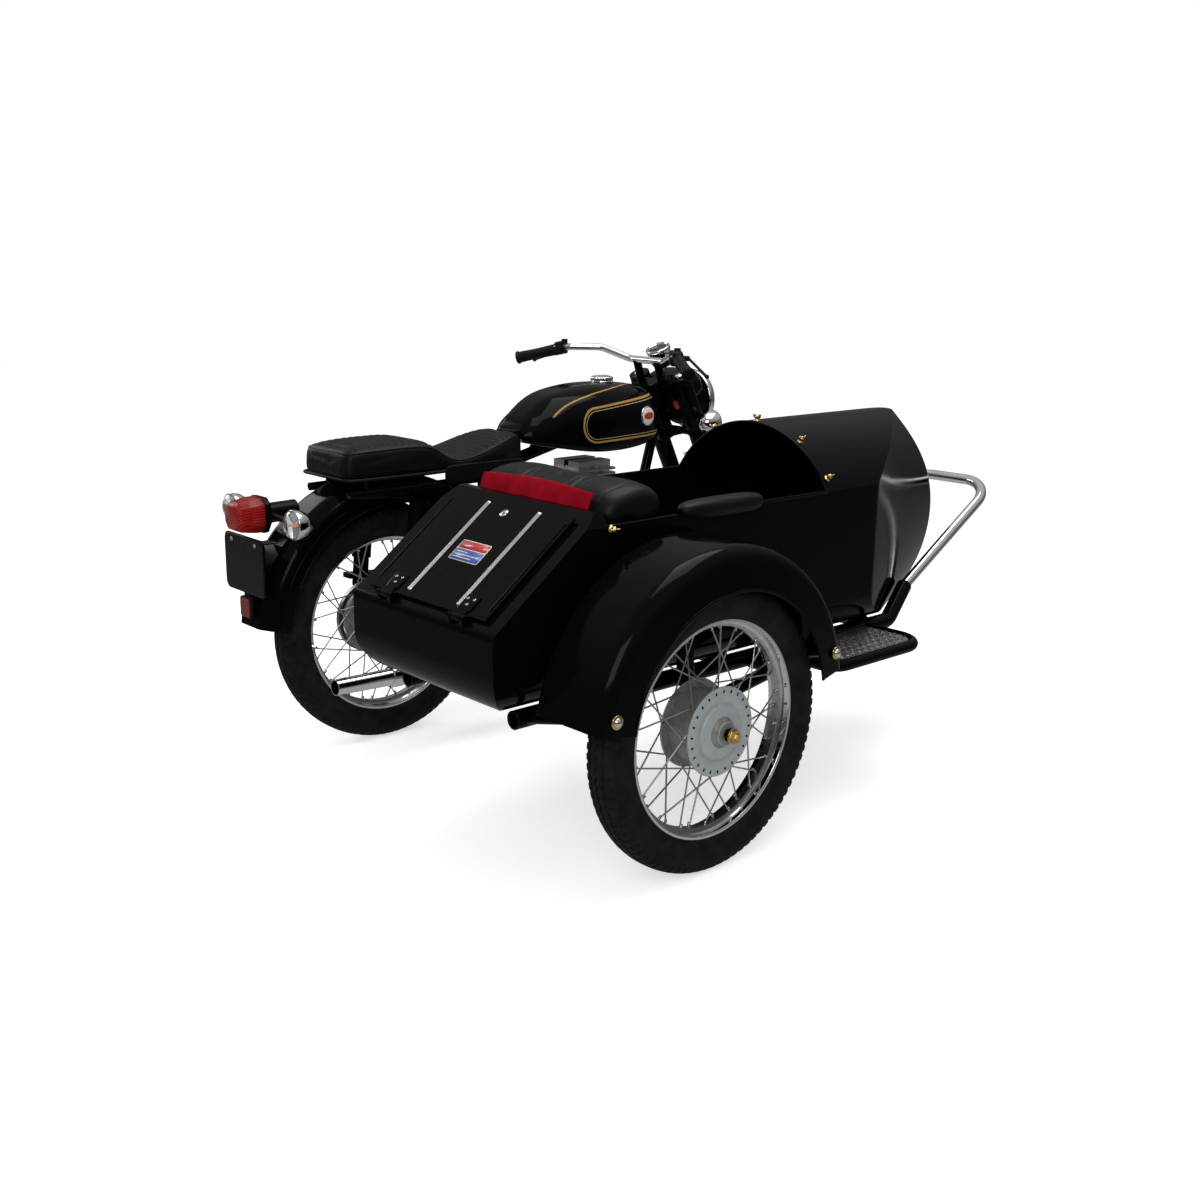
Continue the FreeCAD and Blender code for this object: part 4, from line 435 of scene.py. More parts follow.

# %% [markdown]
# ## Bright metal
# Chrome is only its reflections, so it needs very little: a mirror with a faint ripple and a few
# dull spots. Wheel rims and spokes are the same plating with road dirt between the spokes. Cast
# aluminium is soft and grainy, with darker spots here and there.

# %% Metals
def metal(name, color, roughness, grain, scale, spots, dark):
    """grain is the bump's depth and scale its noise; spots and dark are the dull spots' strength
    and tone."""
    made = Finish(name, color, roughness, Metallic=1.0)
    spread = made.noise(scale, 4)
    made.set("Roughness", spread * (roughness * 0.9 + 0.03) + roughness * 0.55)
    stain = made.noise(14, 5, 0.65).step(0.52, 0.78) * spots
    made.set("Base Color", made.mix(stain, color, rgb(*[c * dark for c in color[:3]])))
    if grain:
        made.bump(made.noise(scale * 9, 3) + made.noise(22, 2) * 0.6, grain)
    return made


CHROME = metal("chrome_plate", rgb(0.74, 0.75, 0.77), 0.055, 0.00002, 30, 0.35, 0.6)
SPOKE = metal("spoke_wire", rgb(0.50, 0.51, 0.53), 0.24, 0.0, 90, 0.8, 0.5)
ALLOY = metal("cast_alloy", rgb(0.46, 0.46, 0.46), 0.36, 0.00010, 80, 0.55, 0.55)
POLISHED = metal("polished_cover", rgb(0.56, 0.56, 0.56), 0.22, 0.00005, 60, 0.45, 0.6)
STEEL = metal("axle_steel", rgb(0.42, 0.41, 0.40), 0.30, 0.00006, 120, 0.6, 0.4)
BRASS = metal("warm_brass", rgb(0.72, 0.50, 0.20), 0.24, 0.00004, 90, 0.6, 0.5)
CHAIN = metal("oiled_chain", rgb(0.30, 0.28, 0.25), 0.34, 0.00006, 300, 0.8, 0.35)
print("metals ready")

# %% Hub paint and rubber
def hub_paint():
    """Grey enamel on a brake drum: warm, dull, with brown stains and bare patches."""
    made = Finish("hub_grey", rgb(0.22, 0.22, 0.21), 0.5, Specular_IOR_Level=0.4)
    stain = made.noise(38, 6, 0.68).step(0.47, 0.74)
    bare = made.noise(120, 4).step(0.64, 0.72)
    made.set("Base Color", made.mix(
        stain, made.mix(bare, rgb(0.25, 0.25, 0.24), rgb(0.42, 0.41, 0.40)),
        rgb(0.13, 0.115, 0.095)))
    made.set("Metallic", bare * 0.7 + 0.25)
    made.set("Roughness", stain * 0.2 + 0.40)
    made.bump(made.noise(500, 3) + stain * 0.5, 0.00012)
    return made


def tyre_rubber():
    """Black rubber, greyed with road dust in patches."""
    made = Finish("tyre_rubber_new", rgb(0.006, 0.006, 0.006), 0.62, Specular_IOR_Level=0.10)
    dust = made.noise(26, 6, 0.7).step(0.38, 0.80)
    made.set("Base Color", made.mix(dust * 0.16, rgb(0.0045, 0.0045, 0.0048), rgb(
        0.085, 0.080, 0.074)))
    made.set("Roughness", dust * 0.18 + 0.55)
    made.bump(made.noise(900, 2), 0.00010)
    return made


HUB = hub_paint()
TYRE = tyre_rubber()
RUBBER = Finish("moulded_rubber", rgb(0.005, 0.005, 0.005), 0.50, Specular_IOR_Level=0.14)
RUBBER.bump(RUBBER.noise(700, 2), 0.0001)
RUBBER.set("Roughness", RUBBER.noise(60, 4) * 0.25 + 0.42)
print(HUB.material.name, TYRE.material.name, RUBBER.material.name)

# %% [markdown]
# ## Seat cover
# The seats are black leather cloth: a fine pebble grain, a soft sheen, and a touch of grey dust.
# The grain is the edge distance of small cells, because leather creases between its pebbles.

# %% Leather
def leather(name, pebble=520.0, gloss=0.36):
    made = Finish(name, rgb(0.004, 0.004, 0.004), gloss, Specular_IOR_Level=0.15)
    grain = made.cell_edges(pebble)
    creases = made.noise(34, 5, 0.6)
    dust = made.noise(130, 4, 0.7).step(0.55, 0.85) * made.facing_up().step(0.2, 1.0)
    made.set("Base Color", made.mix(dust * 0.05, rgb(0.0035, 0.0035, 0.0038), rgb(
        0.13, 0.12, 0.11)))
    made.set("Roughness", creases * 0.16 + gloss - 0.06)
    made.bump(grain.step(0.0, 0.32) * 0.5 + creases * 0.9, 0.00042, 0.55)
    return made


LEATHER = leather("black_leather_new")
PIPING = leather("piping_cloth", 900.0, 0.30)
LINING = Finish("red_lining", rgb(0.26, 0.002, 0.012), 0.90, Specular_IOR_Level=0.05)
LINING.set("Base Color", LINING.mix(
    LINING.noise(24, 4).step(0.3, 0.8), rgb(0.28, 0.002, 0.012), rgb(0.15, 0.001, 0.006)))
LINING.bump(LINING.noise(1400, 2), 0.0002)
print(LEATHER.material.name, len(LEATHER.tree.nodes), "nodes")

# %% [markdown]
# ## Lenses, enamels and small plastics
# A lamp lens is thick coloured plastic with prisms moulded inside. From outside, what shows is a
# deep colour, a sharp gloss, and a pattern that catches light. Clear covers are real glass with a
# bulb and a bowl behind them.

# %% Lenses and paints
def lens(name, color, deep, ribs):
    made = Finish(name, color, 0.10, Specular_IOR_Level=0.25, Coat_Weight=0.10, Coat_Roughness=0.05)
    prism = (made.axis("Z") * ribs).sine() * (made.axis("Y") * ribs).sine()
    made.set("Base Color", made.mix(prism.step(-0.6, 0.8), deep, color))
    made.set("Roughness", made.noise(70, 3) * 0.08 + 0.08)
    made.bump(prism, 0.0009, 0.7)
    return made


def plain(name, color, roughness, spread=0.12, tone=0.75, **fixed):
    """A small painted or moulded piece, with a little unevenness in its tone and its gloss."""
    made = Finish(name, color, roughness, **fixed)
    patch = made.noise(55, 4, 0.6)
    made.set("Base Color", made.mix(patch.step(0.4, 0.75), color, rgb(
        *[c * tone for c in color[:3]])))
    made.set("Roughness", patch * spread + roughness - spread / 2)
    made.bump(made.noise(600, 2), 0.00005)
    return made


RED_LENS = lens("red_lens_new", rgb(0.40, 0.004, 0.004), rgb(0.13, 0.001, 0.001), 900.0)
REFLECTOR = lens("red_reflector", rgb(0.26, 0.006, 0.006), rgb(0.10, 0.002, 0.003), 1500.0)
GLASS = Finish("lamp_glass", rgb(0.95, 0.96, 0.96), 0.02, IOR=1.35, Transmission_Weight=0.96)
GLASS.set("Roughness", GLASS.noise(40, 3) * 0.03 + 0.02)
BULB = plain("amber_bulb", rgb(0.85, 0.27, 0.03), 0.16, Coat_Weight=0.6)
DIAL = plain("dial_face", rgb(0.012, 0.012, 0.012), 0.45)
MARK = plain("dial_marks", rgb(0.80, 0.79, 0.72), 0.5)
RED_PAINT = plain("red_enamel", rgb(0.48, 0.020, 0.022), 0.28, Coat_Weight=0.5)
BLUE_PAINT = plain("blue_enamel", rgb(0.020, 0.080, 0.34), 0.35, Coat_Weight=0.4)
CREAM = plain("cream_enamel", rgb(0.78, 0.74, 0.62), 0.35)
PLATE = plain("plate_black", rgb(0.006, 0.006, 0.006), 0.34, Specular_IOR_Level=0.15)
ORANGE = plain("orange_button", rgb(0.80, 0.16, 0.02), 0.40)
print("lenses and paints ready")

# %% [markdown]
# ## Dressing the workshop's pieces
# Pieces whose shape is right keep it and only get a finish. A wheel's rim is bright plating while
# its spokes are duller wire, and both are one piece, so that finish is a function of the distance
# from the wheel's centre.

# %% Finishes for the pieces that stay
def dress(finish, *names):
    """The finish goes into each material slot of the named pieces."""
    for name in names:
        for spot in NODES[name].material_slots:
            spot.material = finish.material


def rim_finish(name, center):
    """Bright rim outside, dull spokes inside: the mask is the distance from the wheel's centre."""
    made = metal(name, rgb(0.66, 0.67, 0.69), 0.10, 0.00002, 40, 0.5, 0.5)
    x, z = made.axis("X") - float(center[0]), made.axis("Z") - float(center[2])
    outer = (x * x + z * z).power(0.5).step(0.231, 0.235)
    rust = made.noise(46, 5, 0.7).step(0.52, 0.76)
    made.set("Base Color", made.mix(
        outer, made.mix(rust, rgb(0.46, 0.46, 0.46), rgb(0.26, 0.20, 0.14)),
        made.mix(rust * 0.5, rgb(0.70, 0.71, 0.73), rgb(0.42, 0.42, 0.42))))
    made.set("Roughness", (1 - outer) * 0.22 + rust * 0.10 + 0.07)
    return made


for wheel, center in WHEELS.items():
    dress(rim_finish(wheel + "_rim_plate", center), wheel + "_wire_rim")
    dress(HUB, wheel + "_hub")
dress(
    ENAMEL, "fork_yokes", "fork_legs", "front_mudguard", "headlamp", "bike_frame", "swingarm",
    "rear_shocks", "chain_guard", "rear_mudguard", "side_boxes", "tail_bracket", "centre_stand",
    "sidecar_chassis", "sidecar_struts", "sidecar_wheel_arm", "sidecar_shock", "sidecar_mudguard",
    "sidecar_nose", "sidecar_tub", "sidecar_tail", "boot_lid", "boot_hinges")
dress(CHROME, "handlebar", "exhaust", "bumper", "speedometer")
dress(ALLOY, "engine_cases", "engine_top_end")
dress(STEEL, "front_axle", "rear_axle")
dress(CHAIN, "drive_chain")
dress(RUBBER, "bar_controls", "foot_controls")
print("dressed", len(NODES), "nodes")

# %% A helper that finishes a piece
def finish_piece(body, finish, slot_name, piece, *replaced):
    """Finish and body for a new piece, and the node it stands for where there is one; slot_name is
    not used.
    """
    piece.data.materials.clear()
    piece.data.materials.append(finish.material)
    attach(piece, body)
    if replaced:
        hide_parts(*replaced)
    return piece


print("finishing helper ready")

# %% [markdown]
# ## Tyres
# A tyre is one ring of rubber. Its section is a smooth curve from bead to bead, and the tread is
# cut into it: three zigzag grooves round the crown, and slanted slots on the shoulders. The
# whole ring is a grid, sector by section, and each groove is a drop in radius worked out at
# every point.

# %% The tyre's section
TREAD_BLOCKS = 88
PITCH = 2 * math.pi / TREAD_BLOCKS
RING_DEEP, SIPE_DEEP, SLOT_DEEP = 0.0060, 0.0045, 0.0062
STEPS_A_BLOCK = 6
HALF_SECTION = [
    (0.0, 0.327), (0.013, 0.3264), (0.0255, 0.3238), (0.0355, 0.3185), (0.0415, 0.3105),
    (0.0446, 0.299), (0.0450, 0.286), (0.0425, 0.270), (0.0375, 0.256), (0.0315, 0.2465),
    (0.0285, 0.2425)]


def tyre_section():
    """(distance from the centre plane, radius) round the outside, bead to bead, and back inside."""
    right = smooth_path(HALF_SECTION, 6)
    outside = np.vstack([right[::-1] * [-1, 1], right[1:]])
    inner = np.array(
        [(0.023, 0.2425), (0.031, 0.262), (0.036, 0.285), (0.030, 0.305), (0.0, 0.3145)])
    inside = np.vstack([inner, inner[-2::-1] * [-1, 1]])
    return outside, inside


def groove(distance, half, soft=0.0009):
    """1 inside a groove of that half width, falling to 0 over its soft edge."""
    return np.clip((half + soft - np.abs(distance)) / soft, 0, 1)


def tread_depth(turn, across, radius):
    """How deep the tread is cut: zigzag rings, sipes and slanted shoulder slots; the fine side rib
    is added in tyre().
    """
    phase = turn / PITCH
    zigzag = np.abs((phase % 1.0) * 2 - 1) * 2 - 1
    crown = np.clip((0.0300 - np.abs(across)) / 0.002, 0, 1)
    rings = groove(across - 0.0035 * zigzag, 0.0016)
    for place in (-0.0165, 0.0165):
        rings = np.maximum(rings, groove(
            across - place - 0.0030 * zigzag * math.copysign(1, place), 0.0017))
    sipe = groove(((phase + 0.25) % 1.0 - 0.5) * PITCH * radius + across * 0.25, 0.0010)
    sipe = sipe * groove(np.abs(across) - 0.0245, 0.0060)
    outer = np.clip((np.abs(across) - 0.0285) / 0.002, 0, 1) * np.clip(
        (radius - 0.3055) / 0.004, 0, 1)
    slant = ((phase + 22 * (np.abs(across) - 0.03) * 0.35) % 1.0 - 0.5) * PITCH * radius
    slots = groove(slant, 0.0034, 0.0012) * outer
    return np.maximum.reduce(
        [rings * crown * RING_DEEP, sipe * crown * SIPE_DEEP, slots * SLOT_DEEP])


def tyre(name, center):
    """A ring about the axle: each point is (r - depth) from it, with the section's inside plain."""
    outside, inside = tyre_section()
    section = np.vstack([outside, inside])
    turn = np.linspace(0, 2 * math.pi, TREAD_BLOCKS * STEPS_A_BLOCK, endpoint=False)[:, None]
    across, radius = section[None, :, 0], section[None, :, 1]
    is_outside = np.arange(len(section)) < len(outside)
    depth = tread_depth(turn, across, radius) * is_outside
    ridges = 0.0006 * np.exp(-((radius - 0.262) / 0.0012) ** 2)
    ridges = ridges + 0.0005 * np.exp(-((radius - 0.2975) / 0.001) ** 2)
    out = radius - depth * 0.94
    side = across + np.sign(across) * ridges * is_outside
    points = np.stack(
        [center[0] + out * np.sin(turn), center[1] + side * np.ones_like(turn),
        center[2] + out * np.cos(turn)], -1)
    return add_mesh(name, points, grid_faces(len(turn), len(section), True, True))


for wheel, center in WHEELS.items():
    ring = tyre(wheel + "_treaded_tyre", center)
    finish_piece(wheel + "_wheel", TYRE, "tyre_rubber", ring, wheel + "_tyre")
print("tread ring:", len(ring.data.polygons), "faces")

# %% [markdown]
# ## Rim and hub fittings
# Each spoke ends in a six-sided nipple at the rim, and a worn plate closes each side of a hub,
# with a ring of slots where the spokes hook in, each slot's hollow drawn as a dark block of
# painted shade. A big brass nut holds an axle. They are small turned or faceted parts, so one
# profile is turned and then copied round the wheel.

# %% Fittings
def copies_round(points, faces, center, angles):
    """A small mesh turned about the wheel's axle by each angle: one array of points and faces."""
    angles = np.asarray(angles)[:, None]
    local = points - center
    x = local[None, :, 0] * np.cos(angles) + local[None, :, 2] * np.sin(angles)
    z = -local[None, :, 0] * np.sin(angles) + local[None, :, 2] * np.cos(angles)
    y = np.broadcast_to(local[None, :, 1], x.shape)
    faces = np.asarray(faces)[None] + (np.arange(len(angles)) * len(points))[:, None, None]
    return (np.stack([x, y, z], -1) + center).reshape(-1, 3), faces.reshape(-1, faces.shape[-1])


def hub_face(wheel, center, side):
    """The drum's outer plate: a flat disc with a raised step and a boss, turned about the axle."""
    profile = [
        (0.0385, 0.020), (0.0385, 0.1003), (0.0400, 0.1012), (0.0420, 0.1008), (0.0432, 0.0992),
        (0.0434, 0.0660), (0.0424, 0.0645), (0.0424, 0.0632), (0.0462, 0.0618), (0.0474, 0.0596),
        (0.0478, 0.0320), (0.0500, 0.0285), (0.0560, 0.0272), (0.0612, 0.0268), (0.0624, 0.0258)]
    return lathe(wheel + "_drum_plate", profile, center, (0, side, 0), 96, loop=True)


def slot_shade_blocks(wheel, center, side, count=24):
    """Painted shade of the slots near the plate's edge, where the spokes hook in: a dark rounded
    block stands for each slot's hollow, copied round.
    """
    start = center + np.array([0.0, side * 0.0436, 0.0900])
    turn = np.linspace(0, 2 * math.pi, 12, endpoint=False)
    ring = np.stack([0.0026 * np.cos(turn), np.zeros(12), 0.0042 * np.sin(turn)], 1)
    block = np.vstack([start + ring, start + ring * 0.7 + [0, side * 0.0008, 0]])
    faces = np.vstack(
        [grid_faces(2, 12, False, True),
        [[12, 13, 14, 15], [12, 15, 16, 17], [12, 17, 18, 19], [12, 19, 20, 21], [12, 21, 22, 23]]])
    points, faces = copies_round(
        block, faces, center, np.linspace(0, 2 * math.pi, count, endpoint=False) + 0.06)
    return add_mesh(wheel + "_spoke_slots", points, faces)


def nipples(wheel, center):
    """Spoke nipples: short six-sided sleeves just inside the rim, alternately left and right."""
    made_points, made_faces, total = [], [], 0
    for side in (-1, 1):
        sleeve = lathe_points(
            [(0, 0.0034), (0.004, 0.0036), (0.0125, 0.0028), (0.0130, 0.0003)],
            center + np.array([0.0, side * 0.0060, 0.2305]), (0, side * 0.13, -1.0), 6)
        turn = np.linspace(0, 2 * math.pi, 18, endpoint=False) + (0.0 if side < 0 else math.pi / 18)
        points, faces = copies_round(
            sleeve.reshape(-1, 3), grid_faces(4, 6, False, True), center, turn)
        made_points.append(points)
        made_faces.append(faces + total)
        total += len(points)
    return add_mesh(wheel + "_nipples", np.vstack(made_points), np.vstack(made_faces))


def axle_nut(wheel, center, start):
    """A brass-coloured lock nut on a washer over the axle's right end, start from its middle."""
    foot = center - np.array([0.0, start, 0.0])
    washer = [(0.0, 0.0175), (0.0022, 0.0175), (0.0028, 0.0165), (0.0028, 0.0100)]
    finish_piece("outfit", BRASS, "brass", lathe(wheel + "_axle_washer", washer, foot, RIGHT, 40))
    nut = lathe(
        wheel + "_axle_nut",
        [(0.0026, 0.0148), (0.0110, 0.0148), (0.0122, 0.0134), (0.0122, 0.0088), (0.0170, 0.0084),
        (0.0180, 0.0074), (0.0182, 0.0003)], foot, RIGHT, 6)
    nut.data.shade_flat()
    finish_piece("outfit", BRASS, "brass", nut)


PLATE_GREY = plain("drum_plate_grey", rgb(0.40, 0.44, 0.45), 0.42, 0.2, 0.86, Metallic=0.25)
for wheel, center in WHEELS.items():
    body = wheel + "_wheel"
    for tag, side in SIDES:
        if wheel == "rear" and side > 0:
            continue
        finish_piece(body, PLATE_GREY, "hub_alloy", hub_face(wheel + "_" + tag, center, side))
        # dark blocks on the plate: painted shade of the spoke slots' hollows
        finish_piece(body, RUBBER, "hub_alloy", slot_shade_blocks(wheel + "_" + tag, center, side))
    finish_piece(body, SPOKE, "rim_chrome", nipples(wheel, center))
axle_nut("sidecar", SIDE, 0.0785)
axle_nut("rear", REAR, 0.1320)
print("hub fittings for", len(WHEELS), "wheels")

# %% [markdown]
# ## The fuel tank
# The tank is pressed from sheet steel to a teardrop: narrow and low at the seat, full at the
# rider's knees, and drawn in again at the steering head. Eight sections set its form. Each is a
# box with two corner radii, and a smooth curve through all eight joins them.

# %% Fuel tank
TANK_REAR, TANK_LONG, TANK_FLOOR, TANK_HIGH, TANK_HALF = 0.453, 0.532, 0.750, 0.196, 0.134
TANK_ROWS = [
    (0.0, 0.50, 0.26, 0.40), (0.06, 0.68, 0.18, 0.60), (0.22, 0.89, 0.10, 0.87),
    (0.42, 1.0, 0.02, 0.98), (0.62, 1.0, 0.0, 1.0), (0.82, 0.95, 0.05, 0.97),
    (0.93, 0.80, 0.15, 0.89), (1.0, 0.54, 0.27, 0.74)]


def rounded_end(row, way):
    """Three small rings beyond an end section, so that the tank closes round."""
    share, half, low, top = row
    middle = (low + top) / 2
    return [
        (share + way * out, half * keep, middle + (low - middle) * keep,
        middle + (top - middle) * keep) for out, keep in ((0.006, 0.90), (0.010, 0.66),
        (0.012, 0.30))]


def fuel_tank():
    """A ring at each station: y = c + r cos(a), z = d + r sin(a) about the two corner centres of
    one half, and the same mirrored. The front follows the fork's lean at full lock."""
    rows = smooth_path(TANK_ROWS, 9)
    rows = np.vstack([rounded_end(rows[0], -1)[::-1], rows, rounded_end(rows[-1], 1)])
    half = (TANK_HALF * rows[:, 1])[:, None]
    low = (TANK_FLOOR + TANK_HIGH * rows[:, 2])[:, None]
    top = (TANK_FLOOR + TANK_HIGH * rows[:, 3])[:, None]
    small = np.minimum(half, top - low)
    r_low, r_top = small * 0.18, small * 0.80
    a, b = np.radians(np.linspace(-90, 0, 12))[None], np.radians(np.linspace(0, 90, 26))[None]
    y = np.hstack([half - r_low + r_low * np.cos(a), half - r_top + r_top * np.cos(b)])
    z = np.hstack([low + r_low + r_low * np.sin(a), top - r_top + r_top * np.sin(b)])
    y, z = np.hstack([y, -y[:, ::-1]]), np.hstack([z, z[:, ::-1]])
    x = TANK_REAR + TANK_LONG * rows[:, :1] + 0 * y
    points = np.stack([x, y, z], -1) + DATUM
    foot = fork(0.460, -0.102)
    limit = foot[0] - (points[:, :, 2] - foot[2]) * FORK_AHEAD[2] / FORK_AHEAD[0]
    points[:, :, 0] = np.minimum(points[:, :, 0], limit)
    return add_mesh("tank_shell", points, closed_grid(len(rows), y.shape[1]))


FUEL_TANK = fuel_tank()
finish_piece("outfit", TANK, "black_paint", FUEL_TANK, "fuel_tank")
bpy.context.view_layer.update()
print("tank", [round(v, 3) for v in FUEL_TANK.dimensions], "m")

# %% [markdown]
# ## Cushions
# A seat is foam under a stretched cover. The shape starts as a smooth form a little smaller than
# the real one. Cloth with air pressure then swells it, as the foam fills the cover, with its
# underside held flat. Seams and pleats come last, pressed in along the surface's own normals.

# %% Swelling a cushion
def vertex_array(mesh, field="co"):
    flat = np.empty(len(mesh.vertices) * 3)
    mesh.vertices.foreach_get(field, flat)
    return flat.reshape(-1, 3)


def set_vertices(mesh, points):
    mesh.vertices.foreach_set("co", points.ravel())
    mesh.update()


def applied(piece):
    """The piece's mesh with its modifiers worked out, put back as plain mesh."""
    shown = piece.evaluated_get(bpy.context.evaluated_depsgraph_get())
    mesh = bpy.data.meshes.new_from_object(shown)
    piece.modifiers.clear()
    piece.data = mesh
    return mesh


SWELL_FRAMES, PRESSURE = 20, 4.0


def swell(piece, voxel, cap, held_below):
    """Even mesh, then cloth under pressure for twenty frames; no point moves further than cap."""
    even = piece.modifiers.new("even", "REMESH")
    even.mode, even.voxel_size, even.use_smooth_shade = "VOXEL", voxel, True
    soften = piece.modifiers.new("soften", "SMOOTH")
    soften.factor, soften.iterations = 0.5, 6
    mesh = applied(piece)
    start = vertex_array(mesh)
    held = piece.vertex_groups.new(name="held")
    held.add(np.nonzero(start[:, 2] < held_below)[0].tolist(), 1.0, "ADD")
    cloth = piece.modifiers.new("air", "CLOTH")
    cloth.settings.use_pressure = True
    cloth.settings.uniform_pressure_force = PRESSURE
    cloth.settings.effector_weights.gravity = 0.0
    cloth.settings.vertex_group_mass = "held"
    cloth.point_cache.frame_start, cloth.point_cache.frame_end = 1, SWELL_FRAMES
    for tick in range(1, SWELL_FRAMES + 1):
        bpy.context.scene.frame_set(tick)
    shown = piece.evaluated_get(bpy.context.evaluated_depsgraph_get())
    move = vertex_array(shown.data) - start
    size = np.linalg.norm(move, axis=1)[:, None] + 1e-12
    piece.modifiers.remove(cloth)
    set_vertices(mesh, start + move * np.minimum(1.0, cap / size))
    bpy.context.scene.frame_set(1)
    fine = piece.modifiers.new("fine", "SUBSURF")
    fine.levels = fine.render_levels = 1
    applied(piece).shade_smooth()


def press(piece, depth):
    """Moves every point in along its normal by depth(points, normals)."""
    mesh = piece.data
    points = vertex_array(mesh)
    normals = np.empty(len(mesh.vertices) * 3)
    mesh.vertex_normals.foreach_get("vector", normals)
    normals = normals.reshape(-1, 3)
    set_vertices(mesh, points - normals * depth(points, normals)[:, None])


def loft(name, stations, sections, columns=72):
    """Rings carried along x: each section is (half width, low, high), smoothed between its
    neighbours, and each ring is a superellipse with a flat lower half."""
    table = smooth_path(sections, 5)
    spots = smooth_path(np.column_stack([stations]), 5)[:, 0]
    turn = np.linspace(0, 2 * math.pi, columns, endpoint=False)[None]
    c, s = np.cos(turn), np.sin(turn)
    half, low, high = table[:, :1], table[:, 1:2], table[:, 2:3]
    middle = low + (high - low) * 0.5
    y = half * np.sign(c) * np.abs(c) ** 0.36
    z = middle + (high - middle) * np.sign(s) * np.abs(s) ** np.where(s > 0, 0.48, 0.30)
    points = np.stack([np.broadcast_to(spots[:, None], y.shape), y, z], -1)
    return add_mesh(name, points, closed_grid(len(spots), columns))


print("cushion helpers ready")

# %% [markdown]
# ## The dual seat
# A long seat in one piece: a raised pillion part with a rounded step down to the rider's part,
# which climbs again onto the tank. Its top is sewn in cross pleats, its sides are plain panels
# under a welt, and a thin skirt hangs at its base.

# %% Dual seat
SEAT_RUN = [
    -0.1690, -0.1640, -0.1500, -0.1150, -0.060, 0.000, 0.050, 0.090, 0.120, 0.150, 0.185, 0.225,
    0.275, 0.325, 0.370, 0.405, 0.432, 0.446]
SEAT_HALF = [
    0.092, 0.104, 0.112, 0.116, 0.1175, 0.118, 0.118, 0.117, 0.116, 0.114, 0.114, 0.115, 0.115,
    0.111, 0.101, 0.088, 0.074, 0.062]
SEAT_TOP = [
    0.803, 0.818, 0.825, 0.829, 0.832, 0.833, 0.832, 0.827, 0.812, 0.789, 0.777, 0.779, 0.792,
    0.808, 0.820, 0.826, 0.824, 0.812]
SEAT_LOW, SEAT_PLEAT = 0.7455, 0.0215


def dual_seat():
    """The seat's form from side and top views: width and height at eighteen stations."""
    piece = loft(
        "dual_seat", [at(x, 0, 0)[0] for x in SEAT_RUN],
        [(w, SEAT_LOW, h) for w, h in zip(SEAT_HALF, SEAT_TOP)])
    points = vertex_array(piece.data)
    points[:, 1] += DATUM[1]
    set_vertices(piece.data, points)
    swell(piece, 0.0062, 0.0020, 0.755)

    def pleats(p, n):
        top = np.clip((n[:, 2] - 0.72) / 0.2, 0, 1) * np.clip(
            (0.100 - np.abs(p[:, 1] - DATUM[1])) / 0.006, 0, 1)
        x = p[:, 0] - DATUM[0]
        wave = 1 - np.abs(np.sin(math.pi * (x + 0.006) / SEAT_PLEAT)) ** 0.45
        return 0.0034 * wave * top * np.clip((x + 0.150) / 0.01, 0, 1)

    press(piece, pleats)
    return piece


def seat_outline(inset):
    """The seat's outline seen from above, pulled in by inset, as a closed path of points."""
    x, w = np.array(SEAT_RUN), np.array(SEAT_HALF)
    side = smooth_path(np.column_stack([x, w]), 3)
    ends = np.vstack([side[::-1] * [1, -1], side])
    middle = np.array([0.5 * (x[0] + x[-1]), 0.0])
    return middle + (ends - middle) * (1 - inset / np.array([0.31, 0.118]))


def on_top(piece, flat, lift):
    """Points on a piece's upper surface straight above each flat point."""
    found = []
    for x, y in flat:
        hit, place, normal, _ = piece.ray_cast(Vector((x, y, 2.0)), Vector((0, 0, -1)))
        if hit:
            found.append(np.array(place) + lift * np.array(normal))
    return np.array(found)


DUAL = dual_seat()
finish_piece("outfit", LEATHER, "black_leather", DUAL, "bike_seat")
welt_path = on_top(DUAL, seat_outline(0.008) + DATUM[:2], 0.0004)
finish_piece("outfit", PIPING, "black_leather", tube(
    "seat_welt", welt_path, 0.0024, 8, closed=True))
skirt_flat = seat_outline(-0.003)
skirt_path = np.column_stack([skirt_flat + DATUM[:2], np.full(len(skirt_flat), 0.7470)])
finish_piece("outfit", RUBBER, "black_leather", tube(
    "seat_base_bead", skirt_path, 0.0042, 10, closed=True))
for tag, side in SIDES:
    finish_piece("outfit", LEATHER, "black_leather", pillow(
        "seat_flap_" + tag, at(0.273, side * 0.1165, 0.7365), XYZ, (0.136, 0.0062, 0.0245), 0.22,
        16, 96))
print("dual seat", [round(v, 3) for v in DUAL.dimensions], "m")

# %% [markdown]
# ## Sidecar cushions
# The passenger leans on a thick roll with a back panel below it, and sits on a deep cushion. The
# roll's cover puckers where it is buttoned down, so its creases are short dents across it. The
# arm pad is a flat strip of the same cloth with both its ends folded under.

# %% Back rest
BACK_SIDE = [
    (-0.088, 0.520), (0.030, 0.522), (0.060, 0.545), (0.052, 0.640), (0.046, 0.730), (0.062, 0.775),
    (0.066, 0.815), (0.050, 0.842), (0.010, 0.856), (-0.045, 0.853), (-0.090, 0.838),
    (-0.112, 0.806), (-0.110, 0.780), (-0.092, 0.740), (-0.090, 0.640)]
# (distance from the middle, width, depth) of each dent across the roll
BACK_CREASES = [
    (-0.085, 0.004, 0.004), (-0.068, 0.003, 0.0025), (-0.105, 0.003, 0.002), (0.085, 0.004, 0.004),
    (0.070, 0.003, 0.0025), (0.102, 0.003, 0.002), (-0.190, 0.003, 0.002), (0.190, 0.003, 0.002)]


